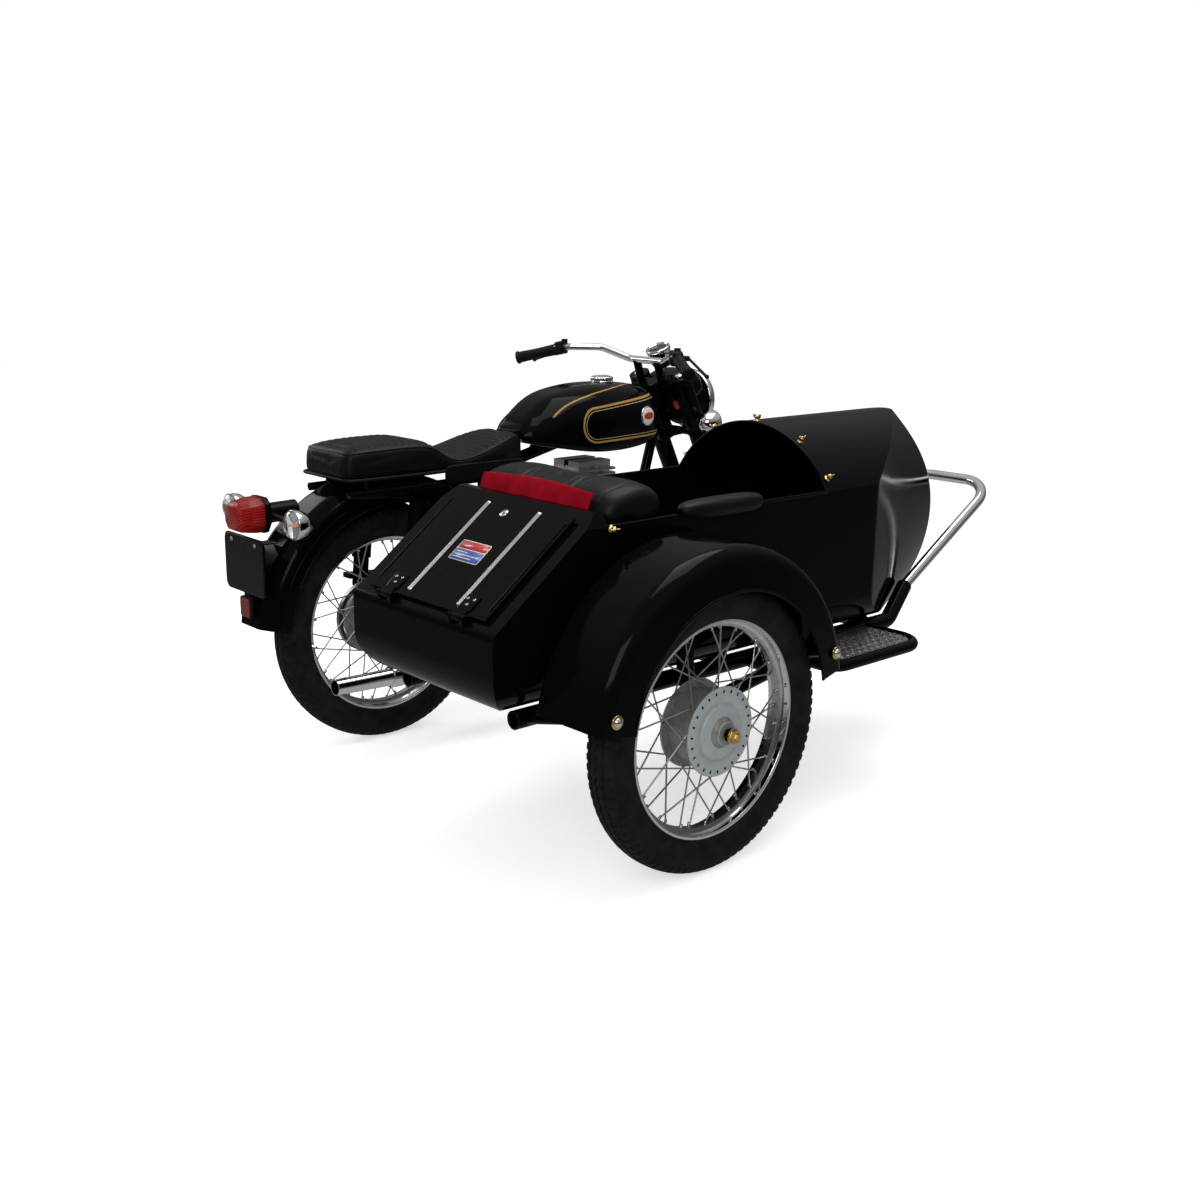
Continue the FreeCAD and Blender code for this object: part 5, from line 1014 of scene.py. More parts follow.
def side_form(name, outline, half, rounding, count=40, power=5.2):
    """An outline seen from the side, carried across: it shrinks towards both ends by a rounding
    law, (1 - |v|^n)^(1/n), so that the ends are full and their edges soft."""
    ring = smooth_path([(x, 0.0, z) for x, z in outline + outline[:1]], 6)[:-1]
    middle = ring.mean(0)
    v = np.sin(np.linspace(-math.pi / 2, math.pi / 2, count))
    shrink = (1 - np.abs(v) ** power) ** (1 / power)
    reach = 1 - (1 - shrink) * rounding
    points = middle + (ring[None] - middle) * reach[:, None, None]
    points[:, :, 1] = (v * half)[:, None] + BODY_Y
    return add_mesh(name, points + DATUM, closed_grid(count, len(ring)))


def back_rest():
    piece = side_form("back_rest", BACK_SIDE, 0.238, 0.5)
    swell(piece, 0.0072, 0.009, 0.53)

    def creases(p, n):
        y = p[:, 1] - DATUM[1] - BODY_Y
        z = p[:, 2]
        dents = np.zeros(len(p))
        for place, wide, deep in BACK_CREASES:
            bend = place + 0.006 * np.sin(p[:, 0] * 45 + place * 80)
            dents += deep * np.exp(-((y - bend) / wide) ** 2)
        high = np.clip((z - 0.800) / 0.02, 0, 1)
        waist = 0.004 * np.exp(-((z - 0.752) / 0.008) ** 2)
        sag = 0.006 * np.exp(-(y / 0.10) ** 2) * np.clip((z - 0.82) / 0.02, 0, 1)
        return dents * high + waist + sag

    press(piece, creases)
    return piece


BACK = back_rest()
finish_piece("outfit", LEATHER, "black_leather", BACK, "sidecar_backrest")
print("back rest", [round(v, 3) for v in BACK.dimensions], "m")

# %% Seat cushion
CUSHION_SIDE = [
    (0.094, 0.494), (0.300, 0.490), (0.520, 0.492), (0.538, 0.512), (0.532, 0.536), (0.500, 0.550),
    (0.400, 0.549), (0.250, 0.543), (0.120, 0.532), (0.094, 0.520)]
CUSHION_CHANNEL = 0.062


def seat_cushion():
    piece = side_form("seat_cushion", CUSHION_SIDE, 0.236, 0.35)
    swell(piece, 0.0080, 0.006, 0.500)

    def channels(p, n):
        y = p[:, 1] - DATUM[1] - BODY_Y
        top = np.clip((n[:, 2] - 0.6) / 0.3, 0, 1)
        wave = 1 - np.abs(np.sin(math.pi * y / CUSHION_CHANNEL)) ** 0.4
        return 0.003 * wave * top * np.clip((0.205 - np.abs(y)) / 0.01, 0, 1)

    press(piece, channels)
    return piece


CUSHION = seat_cushion()
finish_piece("outfit", LEATHER, "black_leather", CUSHION, "sidecar_seat")
print("seat cushion", [round(v, 3) for v in CUSHION.dimensions], "m")

# %% Arm pad
PAD_SECTION = [
    (0.0290, 0.7692), (0.0310, 0.7790), (0.0270, 0.7915), (0.0100, 0.7980), (-0.0110, 0.7978),
    (-0.0260, 0.7915), (-0.0302, 0.7790), (-0.0298, 0.7640), (-0.0240, 0.7580), (-0.0090, 0.7580),
    (-0.0022, 0.7635), (-0.0022, 0.7692)]
PAD_MIDDLE = 0.7800


def arm_pad():
    """A strip folded over the rail: one section carried along x, drawn in at each end."""
    ring = smooth_path(PAD_SECTION + PAD_SECTION[:1], 3)[:-1]
    x = np.linspace(0.088, 0.354, 64)[:, None]
    full = np.clip(1 - (np.abs(x - 0.221) / 0.1340) ** 5, 0, 1) ** 0.5 * 0.92 + 0.08
    y = ring[None, :, 0] * full
    z = PAD_MIDDLE + (ring[None, :, 1] - PAD_MIDDLE) * full
    points = np.stack([np.broadcast_to(x, y.shape), y + BODY_Y - BODY_HALF, z], -1)
    return add_mesh("arm_rest_pad", points + DATUM, closed_grid(len(x), len(ring)))


PAD = arm_pad()
swell(PAD, 0.004, 0.002, 0.772)
finish_piece("outfit", LEATHER, "black_leather", PAD, "arm_pad")
print("arm pad", [round(v, 3) for v in PAD.dimensions], "m")

# %% [markdown]
# ## Red lining
# Behind the roll, a strip of red lining cloth shows above the boot. It is tacked under the roll
# and hangs by its own weight, so it is a wavy surface whose ripples grow towards its lower edge.

# %% Lining
LINING_TOP, LINING_FOOT, LINING_HALF = 0.838, 0.7925, 0.190


def lining():
    """The strip lies on the roll's back: x follows its round as z drops, and ripples grow."""
    rows, columns = 16, 120
    drop = np.linspace(0, 1, rows)[:, None]
    y = np.linspace(-LINING_HALF, LINING_HALF, columns)[None]
    top = LINING_TOP - 0.25 * y ** 2
    z = top + (LINING_FOOT - top) * drop
    down = np.clip((LINING_TOP - z) / (LINING_TOP - LINING_FOOT), 0, 1)
    x = -0.104 - 0.026 * down ** 0.6 + 0.003 * np.abs(y / LINING_HALF) ** 3 + 0.003 * drop * np.sin(
        y * 70 + 0.6 * drop)
    points = np.stack([x, BODY_Y + y * np.ones_like(drop), z], -1)
    return add_mesh("red_lining_strip", points + DATUM, grid_faces(rows, columns))


cloth_strip = lining()
wall = cloth_strip.modifiers.new("cloth", "SOLIDIFY")
wall.thickness, wall.offset = 0.0012, 0.0
applied(cloth_strip).shade_smooth()
finish_piece("outfit", LINING, "black_leather", cloth_strip)
print("lining", [round(v, 3) for v in cloth_strip.dimensions], "m")

# %% [markdown]
# ## The boot lid's trim
# The boot's slope is a plane, so its trim is easiest in the slope's own directions: along it,
# across it, and out of it. Two ribbed bright strips, two pressed ribs, a lock, a label without
# words and two hinge leaves lie there, and ride on the lid.

# %% The slope's directions
SLOPE_FOOT, SLOPE_EDGE = (-0.434, 0.580), (-0.150, 0.797)
SLOPE = math.atan2(SLOPE_EDGE[1] - SLOPE_FOOT[1], SLOPE_EDGE[0] - SLOPE_FOOT[0])
UP_SLOPE = np.array([math.cos(SLOPE), 0.0, math.sin(SLOPE)])
OFF_SLOPE = np.array([-math.sin(SLOPE), 0.0, math.cos(SLOPE)])
LID_FACE = 0.010


def on_slope(along, left, above=LID_FACE):
    """A point on the boot's slope: up it from its foot, left of the bike's plane, and off it."""
    return at(SLOPE_FOOT[0], left, SLOPE_FOOT[1]) + along * UP_SLOPE + above * OFF_SLOPE


def strip(name, start, end, section, columns=24):
    """A bar on the slope: a section of (across, off it) carried from start to end, ends rounded."""
    section = np.asarray(section, float)
    t = np.concatenate([[0, 0.004, 0.012], np.linspace(0.03, 0.97, columns), [0.988, 0.996, 1]])
    t = t[:, None, None]
    ends = np.clip(np.minimum(t, 1 - t) / 0.010, 0, 1) ** 0.5
    start, end = np.asarray(start, float), np.asarray(end, float)
    run = start + (end - start) * t
    points = run + section[None, :, :1] * ends * ALONG_Y + section[None, :, 1:] * ends * OFF_SLOPE
    return add_mesh(name, points, closed_grid(len(t), len(section)))


RIBBED = [
    (-0.0062, -0.0006), (-0.0062, 0.0014), (-0.0050, 0.0034), (-0.0034, 0.0036), (-0.0024, 0.0022),
    (-0.0012, 0.0040), (0.0012, 0.0040), (0.0024, 0.0022), (0.0034, 0.0036), (0.0050, 0.0034),
    (0.0062, 0.0014), (0.0062, -0.0006)]
RIB = [(-0.0035, -0.0004), (-0.0020, 0.0014), (0.0, 0.0020), (0.0020, 0.0014), (0.0035, -0.0004)]
for name, left, section, low, high, finish, slot_name in (
        ("boot_strip_left", -0.727, RIBBED, 0.040, 0.322, CHROME, "chrome"),
        ("boot_strip_right", -0.904, RIBBED, 0.040, 0.322, CHROME, "chrome"),
        ("boot_pressed_rib", -1.000, RIB, 0.050, 0.312, ENAMEL, "black_paint"),
        ("boot_pressed_rib_left", -0.600, RIB, 0.050, 0.312, ENAMEL, "black_paint")):
    finish_piece("boot_lid", finish, slot_name, strip(
        name, on_slope(low, left), on_slope(high, left), section))
print("strips and ribs on the lid")

# %% Lock, label and hinge leaves
finish_piece("boot_lid", CHROME, "chrome", lathe(
    "boot_lock", [(-0.0005, 0.0105), (0.0015, 0.0108), (0.0026, 0.0096), (0.0022, 0.0072),
    (0.0030, 0.0066), (0.0034, 0.0020), (0.0022, 0.0018), (0.0022, 0.0002)],
    on_slope(0.298, -0.801), OFF_SLOPE, 40))
# The key slot is a thin dark strip on the lock: painted shade of its hollow.
finish_piece("boot_lid", RUBBER, "black_rubber", strip(
    "boot_lock_slit", on_slope(0.2925, -0.801, 0.0128), on_slope(0.3035, -0.801, 0.0128),
    [(-0.0010, 0), (-0.0010, 0.0007), (0.0010, 0.0007), (0.0010, 0)], 6))


def label_part(name, low, high, right, left, above, finish):
    """A flat enamelled field: a superellipse of a high power is a rectangle with round corners."""
    turn = np.linspace(0, 2 * math.pi, 64, endpoint=False)
    center = on_slope((low + high) / 2, (left + right) / 2, LID_FACE + above)
    u = np.sign(np.cos(turn)) * np.abs(np.cos(turn)) ** 0.12 * (high - low) / 2
    v = np.sign(np.sin(turn)) * np.abs(np.sin(turn)) ** 0.12 * abs(left - right) / 2
    rim = center + u[:, None] * UP_SLOPE + v[:, None] * ALONG_Y
    points = np.stack([rim - 0.0004 * OFF_SLOPE, rim])
    finish_piece("boot_lid", finish, "black_paint", add_mesh(name, points, closed_grid(2, 64)))


label_part("boot_label_edge", 0.148, 0.2055, -0.8545, -0.7535, 0.0006, CREAM)
label_part("boot_label_red", 0.1820, 0.2035, -0.8525, -0.7555, 0.0009, RED_PAINT)
label_part("boot_label_blue", 0.1500, 0.1800, -0.8525, -0.7555, 0.0009, BLUE_PAINT)
for row, right in enumerate((-0.8250, -0.8440, -0.8000)):
    foot = 0.1560 + row * 0.0078
    label_part("boot_label_line_%d" % row, foot, foot + 0.0020, right, -0.7620, 0.0011, CREAM)
print("label at", on_slope(0.177, -0.804).round(3))

# %% Hinge leaves
for tag, left in (("left", -0.670), ("right", -0.930)):
    finish_piece("boot_lid", ENAMEL, "black_paint", pillow(
        "boot_hinge_leaf_" + tag, on_slope(0.055, left, LID_FACE + 0.0012),
        (UP_SLOPE, ALONG_Y, OFF_SLOPE), (0.022, 0.022, 0.0024), 0.25, 16, 40))
    for along, side in ((0.063, -0.011), (0.063, 0.011), (0.048, 0.0)):
        finish_piece("boot_lid", STEEL, "axle_steel", lathe(
            "boot_hinge_screw_%s_%d_%d" % (tag, along * 1000, side * 1000 + 20),
            [(0, 0.0040), (0.0014, 0.0036), (0.0022, 0.0022), (0.0024, 0.0002)],
            on_slope(along, left + side, LID_FACE + 0.0034), OFF_SLOPE, 16))
print("hinge leaves ready")

# %% [markdown]
# ## Cover studs
# A rain cover buttons onto seven brass wing studs. Each has a round foot, a short stem and a wing
# nut, so it is a turned profile with two flat ears beside it.

# %% Wing studs
def wing_stud(name, foot, out):
    """A turned stem with two ears: thin rounded blocks leaning out on either side."""
    axis, first, second = basis(out)
    stem = lathe(
        name, [(-0.001, 0.0085), (0.0015, 0.0085), (0.0025, 0.0050), (0.0070, 0.0046),
        (0.0080, 0.0062), (0.0125, 0.0058), (0.0135, 0.0036), (0.0160, 0.0030), (0.0164, 0.0003)],
        foot, axis, 24)
    ears = []
    for side in (-1, 1):
        lean = axis * 0.80 + first * side * 0.60
        across = np.cross(lean, second)
        center = np.asarray(foot) + axis * 0.0115 + first * side * 0.0080
        ears.append(pillow(
            name + "_ear", center, (lean, across, second), (0.0068, 0.0042, 0.0014), 0.6, 10, 20))
    return join(name, [stem] + ears)


COWL_RISE = COWL_UP - RAIL_UP
COWL_R = (BODY_HALF ** 2 + COWL_RISE ** 2) / (2 * COWL_RISE)


def cowl_point(left, ahead, lift=0.0):
    """A point of the cowl left of its middle, and the way out of it there: its arch is one circle
    through both rails and the crown."""
    out = np.array([0.0, left, math.sqrt(COWL_R ** 2 - left ** 2)]) / COWL_R
    return at(ahead, BODY_Y, COWL_UP - COWL_R) + out * (COWL_R + lift), out


COWL_EDGE = 0.622
STUDS = [("cowl_%d" % number, *cowl_point(left, COWL_EDGE)) for number, left in enumerate(
    (-0.236, -0.145, 0.0, 0.145, 0.236))]
STUDS += [
    ("rear_right", at(-0.118, BODY_Y - BODY_HALF, RAIL_UP - 0.004), (0, -1, 0)),
    ("rear_left", at(-0.118, BODY_Y + BODY_HALF, RAIL_UP - 0.004), (0, 1, 0))]
finish_piece(
    "outfit", BRASS, "brass",
    join("wing_studs", [wing_stud("stud_" + tag, foot, out) for tag, foot, out in STUDS]),
    "cover_studs")
print(len(STUDS), "studs")

# %% [markdown]
# ## Rolled edges
# Sheet steel is never left with a raw edge. The cockpit's rim is rolled over a wire, and so is
# every mudguard's. A bead along the edge makes the highlight that draws the panel's line.

# %% Cockpit and cowl beads
def cowl_arch(ahead, lift, count=60):
    """The whole arch across the body as a path, with its points close together at the rails."""
    left = BODY_HALF * np.sin(np.linspace(-math.pi / 2, math.pi / 2, count))
    return np.array([cowl_point(value, ahead, lift)[0] for value in left])


def add_bead(name, path, radius, body="outfit"):
    finish_piece(body, ENAMEL, "black_paint", tube(name, path, radius, 10))


add_bead("cowl_edge_bead", cowl_arch(0.603, -0.0025), 0.0042)
for tag, side in SIDES:
    left = BODY_Y + side * (BODY_HALF - 0.0025)
    rail = np.array([at(x, left, RAIL_UP) for x in np.linspace(-0.126, 0.604, 40)])
    add_bead("cockpit_rail_bead_" + tag, rail, 0.0045)
print("cowl radius", round(COWL_R, 3), "m")

# %% Mudguard beads
GUARD = at(0.0, 0.0, 0.336)
for tag, side in SIDES:
    add_bead("rear_guard_edge_" + tag, arc(GUARD, 0.335, -83, 55, side * 0.0815, 96), 0.0032)
    add_bead("rear_guard_rib_" + tag, arc(GUARD, 0.362, -83, 55, side * 0.0815, 96), 0.0024)
    add_bead(
        "front_guard_edge_" + tag, arc(FRONT, 0.306, -81, 67, side * 0.0625, 80), 0.0030,
        "steering")
SIDE_ARC = at(0.040, -1.200, 0.348)
add_bead("side_guard_outer_bead", arc(SIDE_ARC, 0.2985, -81, 81, -0.0825, 96), 0.0036)
print("mudguard beads ready")

# %% [markdown]
# ## Mudguard bolts
# Two stays hold the sidecar's mudguard, each by one bolt: a chrome dome on a yellow-passivated
# washer.

# %% Dome bolts
for tag, ahead, up in (("rear", -0.306, 0.436), ("front", 0.375, 0.452)):
    face = at(ahead, -1.2835, up)
    finish_piece("outfit", BRASS, "brass", lathe(
        "guard_washer_" + tag,
        [(0.0, 0.0150), (0.0022, 0.0150), (0.0030, 0.0140), (0.0030, 0.0080)], face, RIGHT, 40))
    finish_piece("outfit", CHROME, "chrome", lathe(
        "guard_bolt_" + tag,
        [(0.0026, 0.0100), (0.0046, 0.0100), (0.0056, 0.0094), (0.0084, 0.0074), (0.0102, 0.0040),
        (0.0108, 0.0003)], face, RIGHT, 40))
print("bolts at", face.round(3))

# %% [markdown]
# ## Tail lamp and reflector
# The tail lamp's lens is a moulded block: eight-sided seen from behind, a little smaller towards
# its outer end, with a raised window on each side. It is a ring of eight corners carried along
# x, and a bevel softens its edges as the mould does.

# %% Tail lamp
LAMP_RING = np.array(
    [(-0.026, 0.045), (0.026, 0.045), (0.044, 0.030), (0.045, -0.018), (0.028, -0.043),
    (-0.028, -0.043), (-0.045, -0.018), (-0.044, 0.030)])


def ring_block(name, ring, stations, center):
    """Rings of (y, z) corners carried along x; each station is (x, scale across, scale up)."""
    stations = np.asarray(stations, float)
    y = ring[None, :, 0] * stations[:, 1:2]
    z = ring[None, :, 1] * stations[:, 2:3]
    x = np.broadcast_to(stations[:, :1], y.shape)
    return add_mesh(
        name, np.asarray(center) + np.stack([x, y, z], -1), closed_grid(len(stations), len(ring)),
        False)


def soften(piece, width):
    """Rounds every edge sharper than thirty degrees, then shades the piece smooth."""
    edge = piece.modifiers.new("soft_edges", "BEVEL")
    edge.width, edge.segments, edge.limit_method = width, 3, "ANGLE"
    edge.harden_normals = True
    applied(piece).shade_smooth()
    return piece


LAMP_AT = at(0.0, 0.0, 0.668)
red = soften(
    ring_block("tail_lens", LAMP_RING,
    [(-0.368, 1.0, 1.0), (-0.392, 0.99, 0.99), (-0.430, 0.90, 0.86), (-0.444, 0.74, 0.70)],
    LAMP_AT), 0.0035)
finish_piece("outfit", RED_LENS, "red_lens", red, "tail_lamp")
finish_piece("outfit", ENAMEL, "black_paint", soften(
    ring_block("tail_lamp_shell", LAMP_RING,
    [(-0.349, 0.80, 0.80), (-0.355, 1.02, 1.02), (-0.370, 1.04, 1.04), (-0.372, 1.0, 1.0)],
    LAMP_AT), 0.002))
for tag, side in SIDES:
    finish_piece("outfit", RED_LENS, "red_lens", pillow(
        "tail_window_" + tag, LAMP_AT + [-0.394, side * 0.0420, 0.004], XYZ, (0.016, 0.0040, 0.020),
        0.3))
for tag, side in SIDES:
    finish_piece("outfit", STEEL, "axle_steel", lathe(
        "tail_screw_" + tag, [(0, 0.0036), (0.0016, 0.0034), (0.0026, 0.0018), (0.0028, 0.0002)],
        LAMP_AT + [-0.4315, side * 0.0300, 0.0], REARWARD, 16))
print("tail lamp", [round(v, 3) for v in red.dimensions])

# %% Reflector and plate
REFLECT_AT = at(-0.4145, 0.0, 0.431)
finish_piece("outfit", RUBBER, "black_rubber", pillow(
    "reflector_frame", REFLECT_AT + [0.003, 0, 0], (ALONG_Y, ALONG_Z, ALONG_X),
    (0.0265, 0.0275, 0.0045), 0.16, 14, 48))
finish_piece("outfit", REFLECTOR, "red_lens", pillow(
    "reflector_prism", REFLECT_AT, (ALONG_Y, ALONG_Z, ALONG_X), (0.0235, 0.0245, 0.0040), 0.14, 14,
    48))
PLATE_AT = at(-0.4125, 0.0, 0.543)
blank = pillow(
    "blank_plate", PLATE_AT, (ALONG_Y, ALONG_Z, ALONG_X), (0.1005, 0.0735, 0.0012), 0.20, 8, 72)
finish_piece("outfit", PLATE, "black_paint", blank)
for side in (-1, 1):
    finish_piece("outfit", STEEL, "axle_steel", lathe(
        "plate_bolt_%d" % (side + 1),
        [(0, 0.0060), (0.0012, 0.0060), (0.0014, 0.0046), (0.0036, 0.0044), (0.0042, 0.0034),
        (0.0042, 0.0002)], PLATE_AT + [-0.0008, side * 0.060, 0.058], REARWARD, 6))
print("plate", [round(v, 3) for v in blank.dimensions])

# %% [markdown]
# ## Indicators
# Four bullet indicators: a chrome teardrop shell, a clear domed glass, and an amber bulb in
# front of a bright bowl. All are turned on one axis, so one helper makes them from profiles.

# %% Indicators
def indicator(tag, center, way, body):
    """way is +1 for a lens that faces the front, -1 for the rear; shells run from lens to tail."""
    shell = [
        (0.006, 0.0350), (0.010, 0.0378), (0.005, 0.0386), (-0.004, 0.0378), (-0.020, 0.0340),
        (-0.036, 0.0235), (-0.047, 0.0090), (-0.0485, 0.0005)]
    bowl = [
        (0.006, 0.0350), (-0.006, 0.0330), (-0.022, 0.0220), (-0.030, 0.0080), (-0.0305, 0.0005)]
    outer = lathe(
        "indicator_shell_" + tag, shell + [(-0.0305, 0.0005)] + bowl[-2::-1][:-1], center,
        (way, 0, 0), 48)
    finish_piece(body, CHROME, "chrome", outer)
    cover = [(0.007, 0.0352), (0.013, 0.0330), (0.018, 0.0270), (0.0215, 0.0160), (0.0225, 0.0005)]
    inner = [(x - 0.0015, r * 0.97) for x, r in reversed(cover)]
    finish_piece(body, GLASS, "clear_lens", lathe(
        "indicator_glass_" + tag, cover + inner, center, (way, 0, 0), 48))
    finish_piece(body, BULB, "clear_lens", lathe(
        "indicator_bulb_" + tag,
        [(-0.026, 0.0060), (-0.012, 0.0065), (-0.004, 0.0095), (0.003, 0.0088), (0.007, 0.0050),
        (0.0085, 0.0003)], center, (way, 0, 0), 24))
    return outer


def stalk(tag, start, end, body):
    """The black stem from the fork or the bracket to the shell, a little waisted."""
    start, end = np.asarray(start), np.asarray(end)
    run = end - start
    span = float(np.linalg.norm(run))
    finish_piece(body, RUBBER, "black_rubber", lathe(
        "indicator_stem_" + tag,
        [(0, 0.0105), (0.006, 0.0100), (span * 0.4, 0.0075), (span * 0.75, 0.0080), (span, 0.0120)],
        start, run, 24))


for tag, side in SIDES:
    root = fork(0.551, -0.010, side * 0.119)
    first = indicator("front_" + tag, root + [0.014, side * 0.047, 0], 1, "steering")
    stalk("front_" + tag, root, root + [0, side * 0.021, 0], "steering")
    second = indicator("rear_" + tag, at(-0.354, side * 0.158, 0.662), -1, "outfit")
    stalk("rear_" + tag, at(-0.340, side * 0.024, 0.662), at(-0.340, side * 0.130, 0.662), "outfit")
    if side < 0:
        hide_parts("front_indicators")
        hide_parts("rear_indicators")
print("four indicators")

# %% [markdown]
# ## Headlamp and speedometer
# The lamp's rim is a broad chrome ring. Behind its domed glass a bowl throws the bulb's light
# forward. The speedometer has a chrome bezel, a black dial with pale ticks, and a red pointer.

# %% Headlamp
BEAM_AT = at(1.210, 0.0, 0.872)
rim = lathe(
    "headlamp_rim", [(-0.018, 0.0935), (-0.006, 0.0955), (0.006, 0.0945), (0.014, 0.0900),
    (0.0165, 0.0850), (0.0130, 0.0835), (0.0040, 0.0870), (-0.014, 0.0915)], BEAM_AT, (1, 0, 0), 96,
    loop=True)
finish_piece("steering", CHROME, "chrome", rim)
finish_piece("steering", POLISHED, "chrome", lathe(
    "headlamp_bowl", [(0.0175, 0.0840), (0.0172, 0.0838), (0.0166, 0.0400), (0.0164, 0.0003)],
    BEAM_AT, (1, 0, 0), 64))
cover = [(0.0170, 0.0848), (0.0210, 0.0800), (0.0255, 0.0600), (0.0280, 0.0350), (0.0288, 0.0005)]
finish_piece("steering", GLASS, "clear_lens", lathe(
    "headlamp_glass", cover + [(x - 0.002, r * 0.97) for x, r in reversed(cover)], BEAM_AT,
    (1, 0, 0), 64))
print("headlamp rim", [round(v, 3) for v in rim.dimensions])

# %% Speedometer
CLOCK_TILT = math.radians(24)
CLOCK_UP = np.array([-math.sin(CLOCK_TILT), 0.0, math.cos(CLOCK_TILT)])
CLOCK_AHEAD = np.array([math.cos(CLOCK_TILT), 0.0, math.sin(CLOCK_TILT)])
CLOCK_AT = at(1.074, 0.0, 0.985) + 0.058 * CLOCK_UP
DIAL_START, DIAL_TICKS, TICK_TURN = -130, 41, 6.5
finish_piece("steering", CHROME, "chrome", lathe(
    "speedometer_bezel", [(-0.012, 0.0372), (-0.004, 0.0392), (0.003, 0.0388), (0.0058, 0.0360),
    (0.0046, 0.0335), (0.0012, 0.0330)], CLOCK_AT, CLOCK_UP, 64))
finish_piece("steering", DIAL, "black_paint", lathe(
    "speedometer_dial", [(0.0008, 0.0330), (0.0018, 0.0328), (0.0020, 0.0003)], CLOCK_AT, CLOCK_UP,
    64))


def dial_way(degrees):
    """The way from the dial's middle at an angle from straight ahead, clockwise."""
    angle = math.radians(degrees)
    return math.cos(angle) * CLOCK_AHEAD + math.sin(angle) * RIGHT


def dial_marks():
    """Ticks round the dial: thin blocks on a circle, longer at every fifth."""
    ticks = []
    for number in range(DIAL_TICKS):
        along = dial_way(DIAL_START + number * TICK_TURN)
        across = np.cross(CLOCK_UP, along)
        long = 0.0042 if number % 5 == 0 else 0.0024
        ticks.append(pillow(
            "tick", CLOCK_AT + CLOCK_UP * 0.0022 + along * (0.0300 - long / 2),
            (along, across, CLOCK_UP), (long / 2, 0.00045, 0.0003), 0.3, 4, 8))
    return join("speedometer_ticks", ticks)


finish_piece("steering", MARK, "black_paint", dial_marks())
needle_way = dial_way(DIAL_START)
finish_piece("steering", RED_PAINT, "black_paint", pillow(
    "speedometer_needle", CLOCK_AT + CLOCK_UP * 0.0034 + needle_way * 0.009,
    (needle_way, np.cross(CLOCK_UP, needle_way), CLOCK_UP), (0.0150, 0.0008, 0.0004), 0.5, 6, 16))
print("speedometer dial at", CLOCK_AT.round(3))

# %% [markdown]
# ## Steering head cover
# A pressed steel cover closes the gap between the fork's tops and the headlamp. It is one smooth
# lump, rounded behind so that it clears the tank at full lock, with two shrouds down the fork.

# %% Steering head cover
cover = pillow(
    "fork_head_cover", fork(0.640, 0.034), (FORK_AHEAD, ALONG_Y, FORK_UP), (0.068, 0.108, 0.052),
    0.75, 28, 64)
finish_piece("steering", ENAMEL, "black_paint", cover)
for tag, side in SIDES:
    finish_piece("steering", ENAMEL, "black_paint", lathe(
        "fork_shroud_" + tag, [(0.0, 0.0335), (0.004, 0.0350), (0.150, 0.0350), (0.166, 0.0330),
        (0.174, 0.0250), (0.176, 0.0003)], fork(0.522, 0.0, side * 0.090), FORK_UP, 40))
    finish_piece("steering", CHROME, "chrome", lathe(
        "fork_cap_" + tag, [(0.0, 0.0170), (0.010, 0.0170), (0.012, 0.0150), (0.014, 0.0003)],
        fork(0.698, 0.0, side * 0.090), FORK_UP, 6))
finish_piece("steering", RED_PAINT, "black_rubber", pillow(
    "lamp_plug", fork(0.620, -0.034, -0.078), (FORK_AHEAD, ALONG_Y, FORK_UP), (0.006, 0.009, 0.013),
    0.3))
print("head cover", [round(v, 3) for v in cover.dimensions])

# %% [markdown]
# ## Grips and switches
# A grip is a rubber sleeve with fine rings and a flange at its outer end. The rings are a sine
# in the turned profile. A small switch box with one bright button sits inboard of it.

# %% Grips
GRIP_TIP, GRIP_BEND, GRIP_LONG = (0.795, 0.385, 0.995), (0.887, 0.236, 1.036), 0.128
GRIP_RING = 0.0032


def grip_profile():
    """Radius along the grip: flange, then rings 3 mm apart on a slightly waisted sleeve."""
    along = np.linspace(0.006, GRIP_LONG, 160)
    waist = 0.0012 * np.cos((along / GRIP_LONG - 0.5) * 2 * math.pi)
    rings = 0.0006 * np.abs(np.sin(along * math.pi / GRIP_RING))
    sleeve = np.stack([along, 0.0168 + waist * -0.5 + rings], 1)
    flange = [
        (-0.004, 0.0003), (-0.004, 0.0150), (-0.002, 0.0200), (0.003, 0.0208), (0.005, 0.0185)]
    return flange + [tuple(pair) for pair in sleeve] + [(GRIP_LONG + 0.001, 0.0120)]


for tag, side in SIDES:
    tip = at(GRIP_TIP[0], side * GRIP_TIP[1], GRIP_TIP[2])
    run = basis(at(GRIP_BEND[0], side * GRIP_BEND[1], GRIP_BEND[2]) - tip)[0]
    finish_piece("steering", RUBBER, "black_rubber", lathe(
        "grip_sleeve_" + tag, grip_profile(), tip, run, 40))
    spot = tip + run * 0.147
    across = np.cross(run, (0, 0, 1.0))
    finish_piece("steering", RUBBER, "black_rubber", pillow(
        "switch_box_" + tag, spot + [-0.004, 0, 0.002],
        (run, across / np.linalg.norm(across), (0, 0, 1)), (0.015, 0.020, 0.0215), 0.35, 14, 32))
    finish_piece("steering", ORANGE, "black_rubber", lathe(
        "switch_button_" + tag, [(0, 0.0042), (0.003, 0.0042), (0.0045, 0.0030), (0.0048, 0.0003)],
        spot + [-0.022, 0, 0.008], REARWARD, 20))
print("grips", round(GRIP_LONG, 3), "m long")

# %% [markdown]
# ## Fuel cap and tank badge
# The cap has a neck, a toothed ring to turn it by, and a shallow dome. The ring's teeth are a
# wave in radius, so the cap is turned as a grid of angle by profile. The badge on the tank's
# side is a plain oval in cream and red, curved to the tank: each point is cast onto the tank.

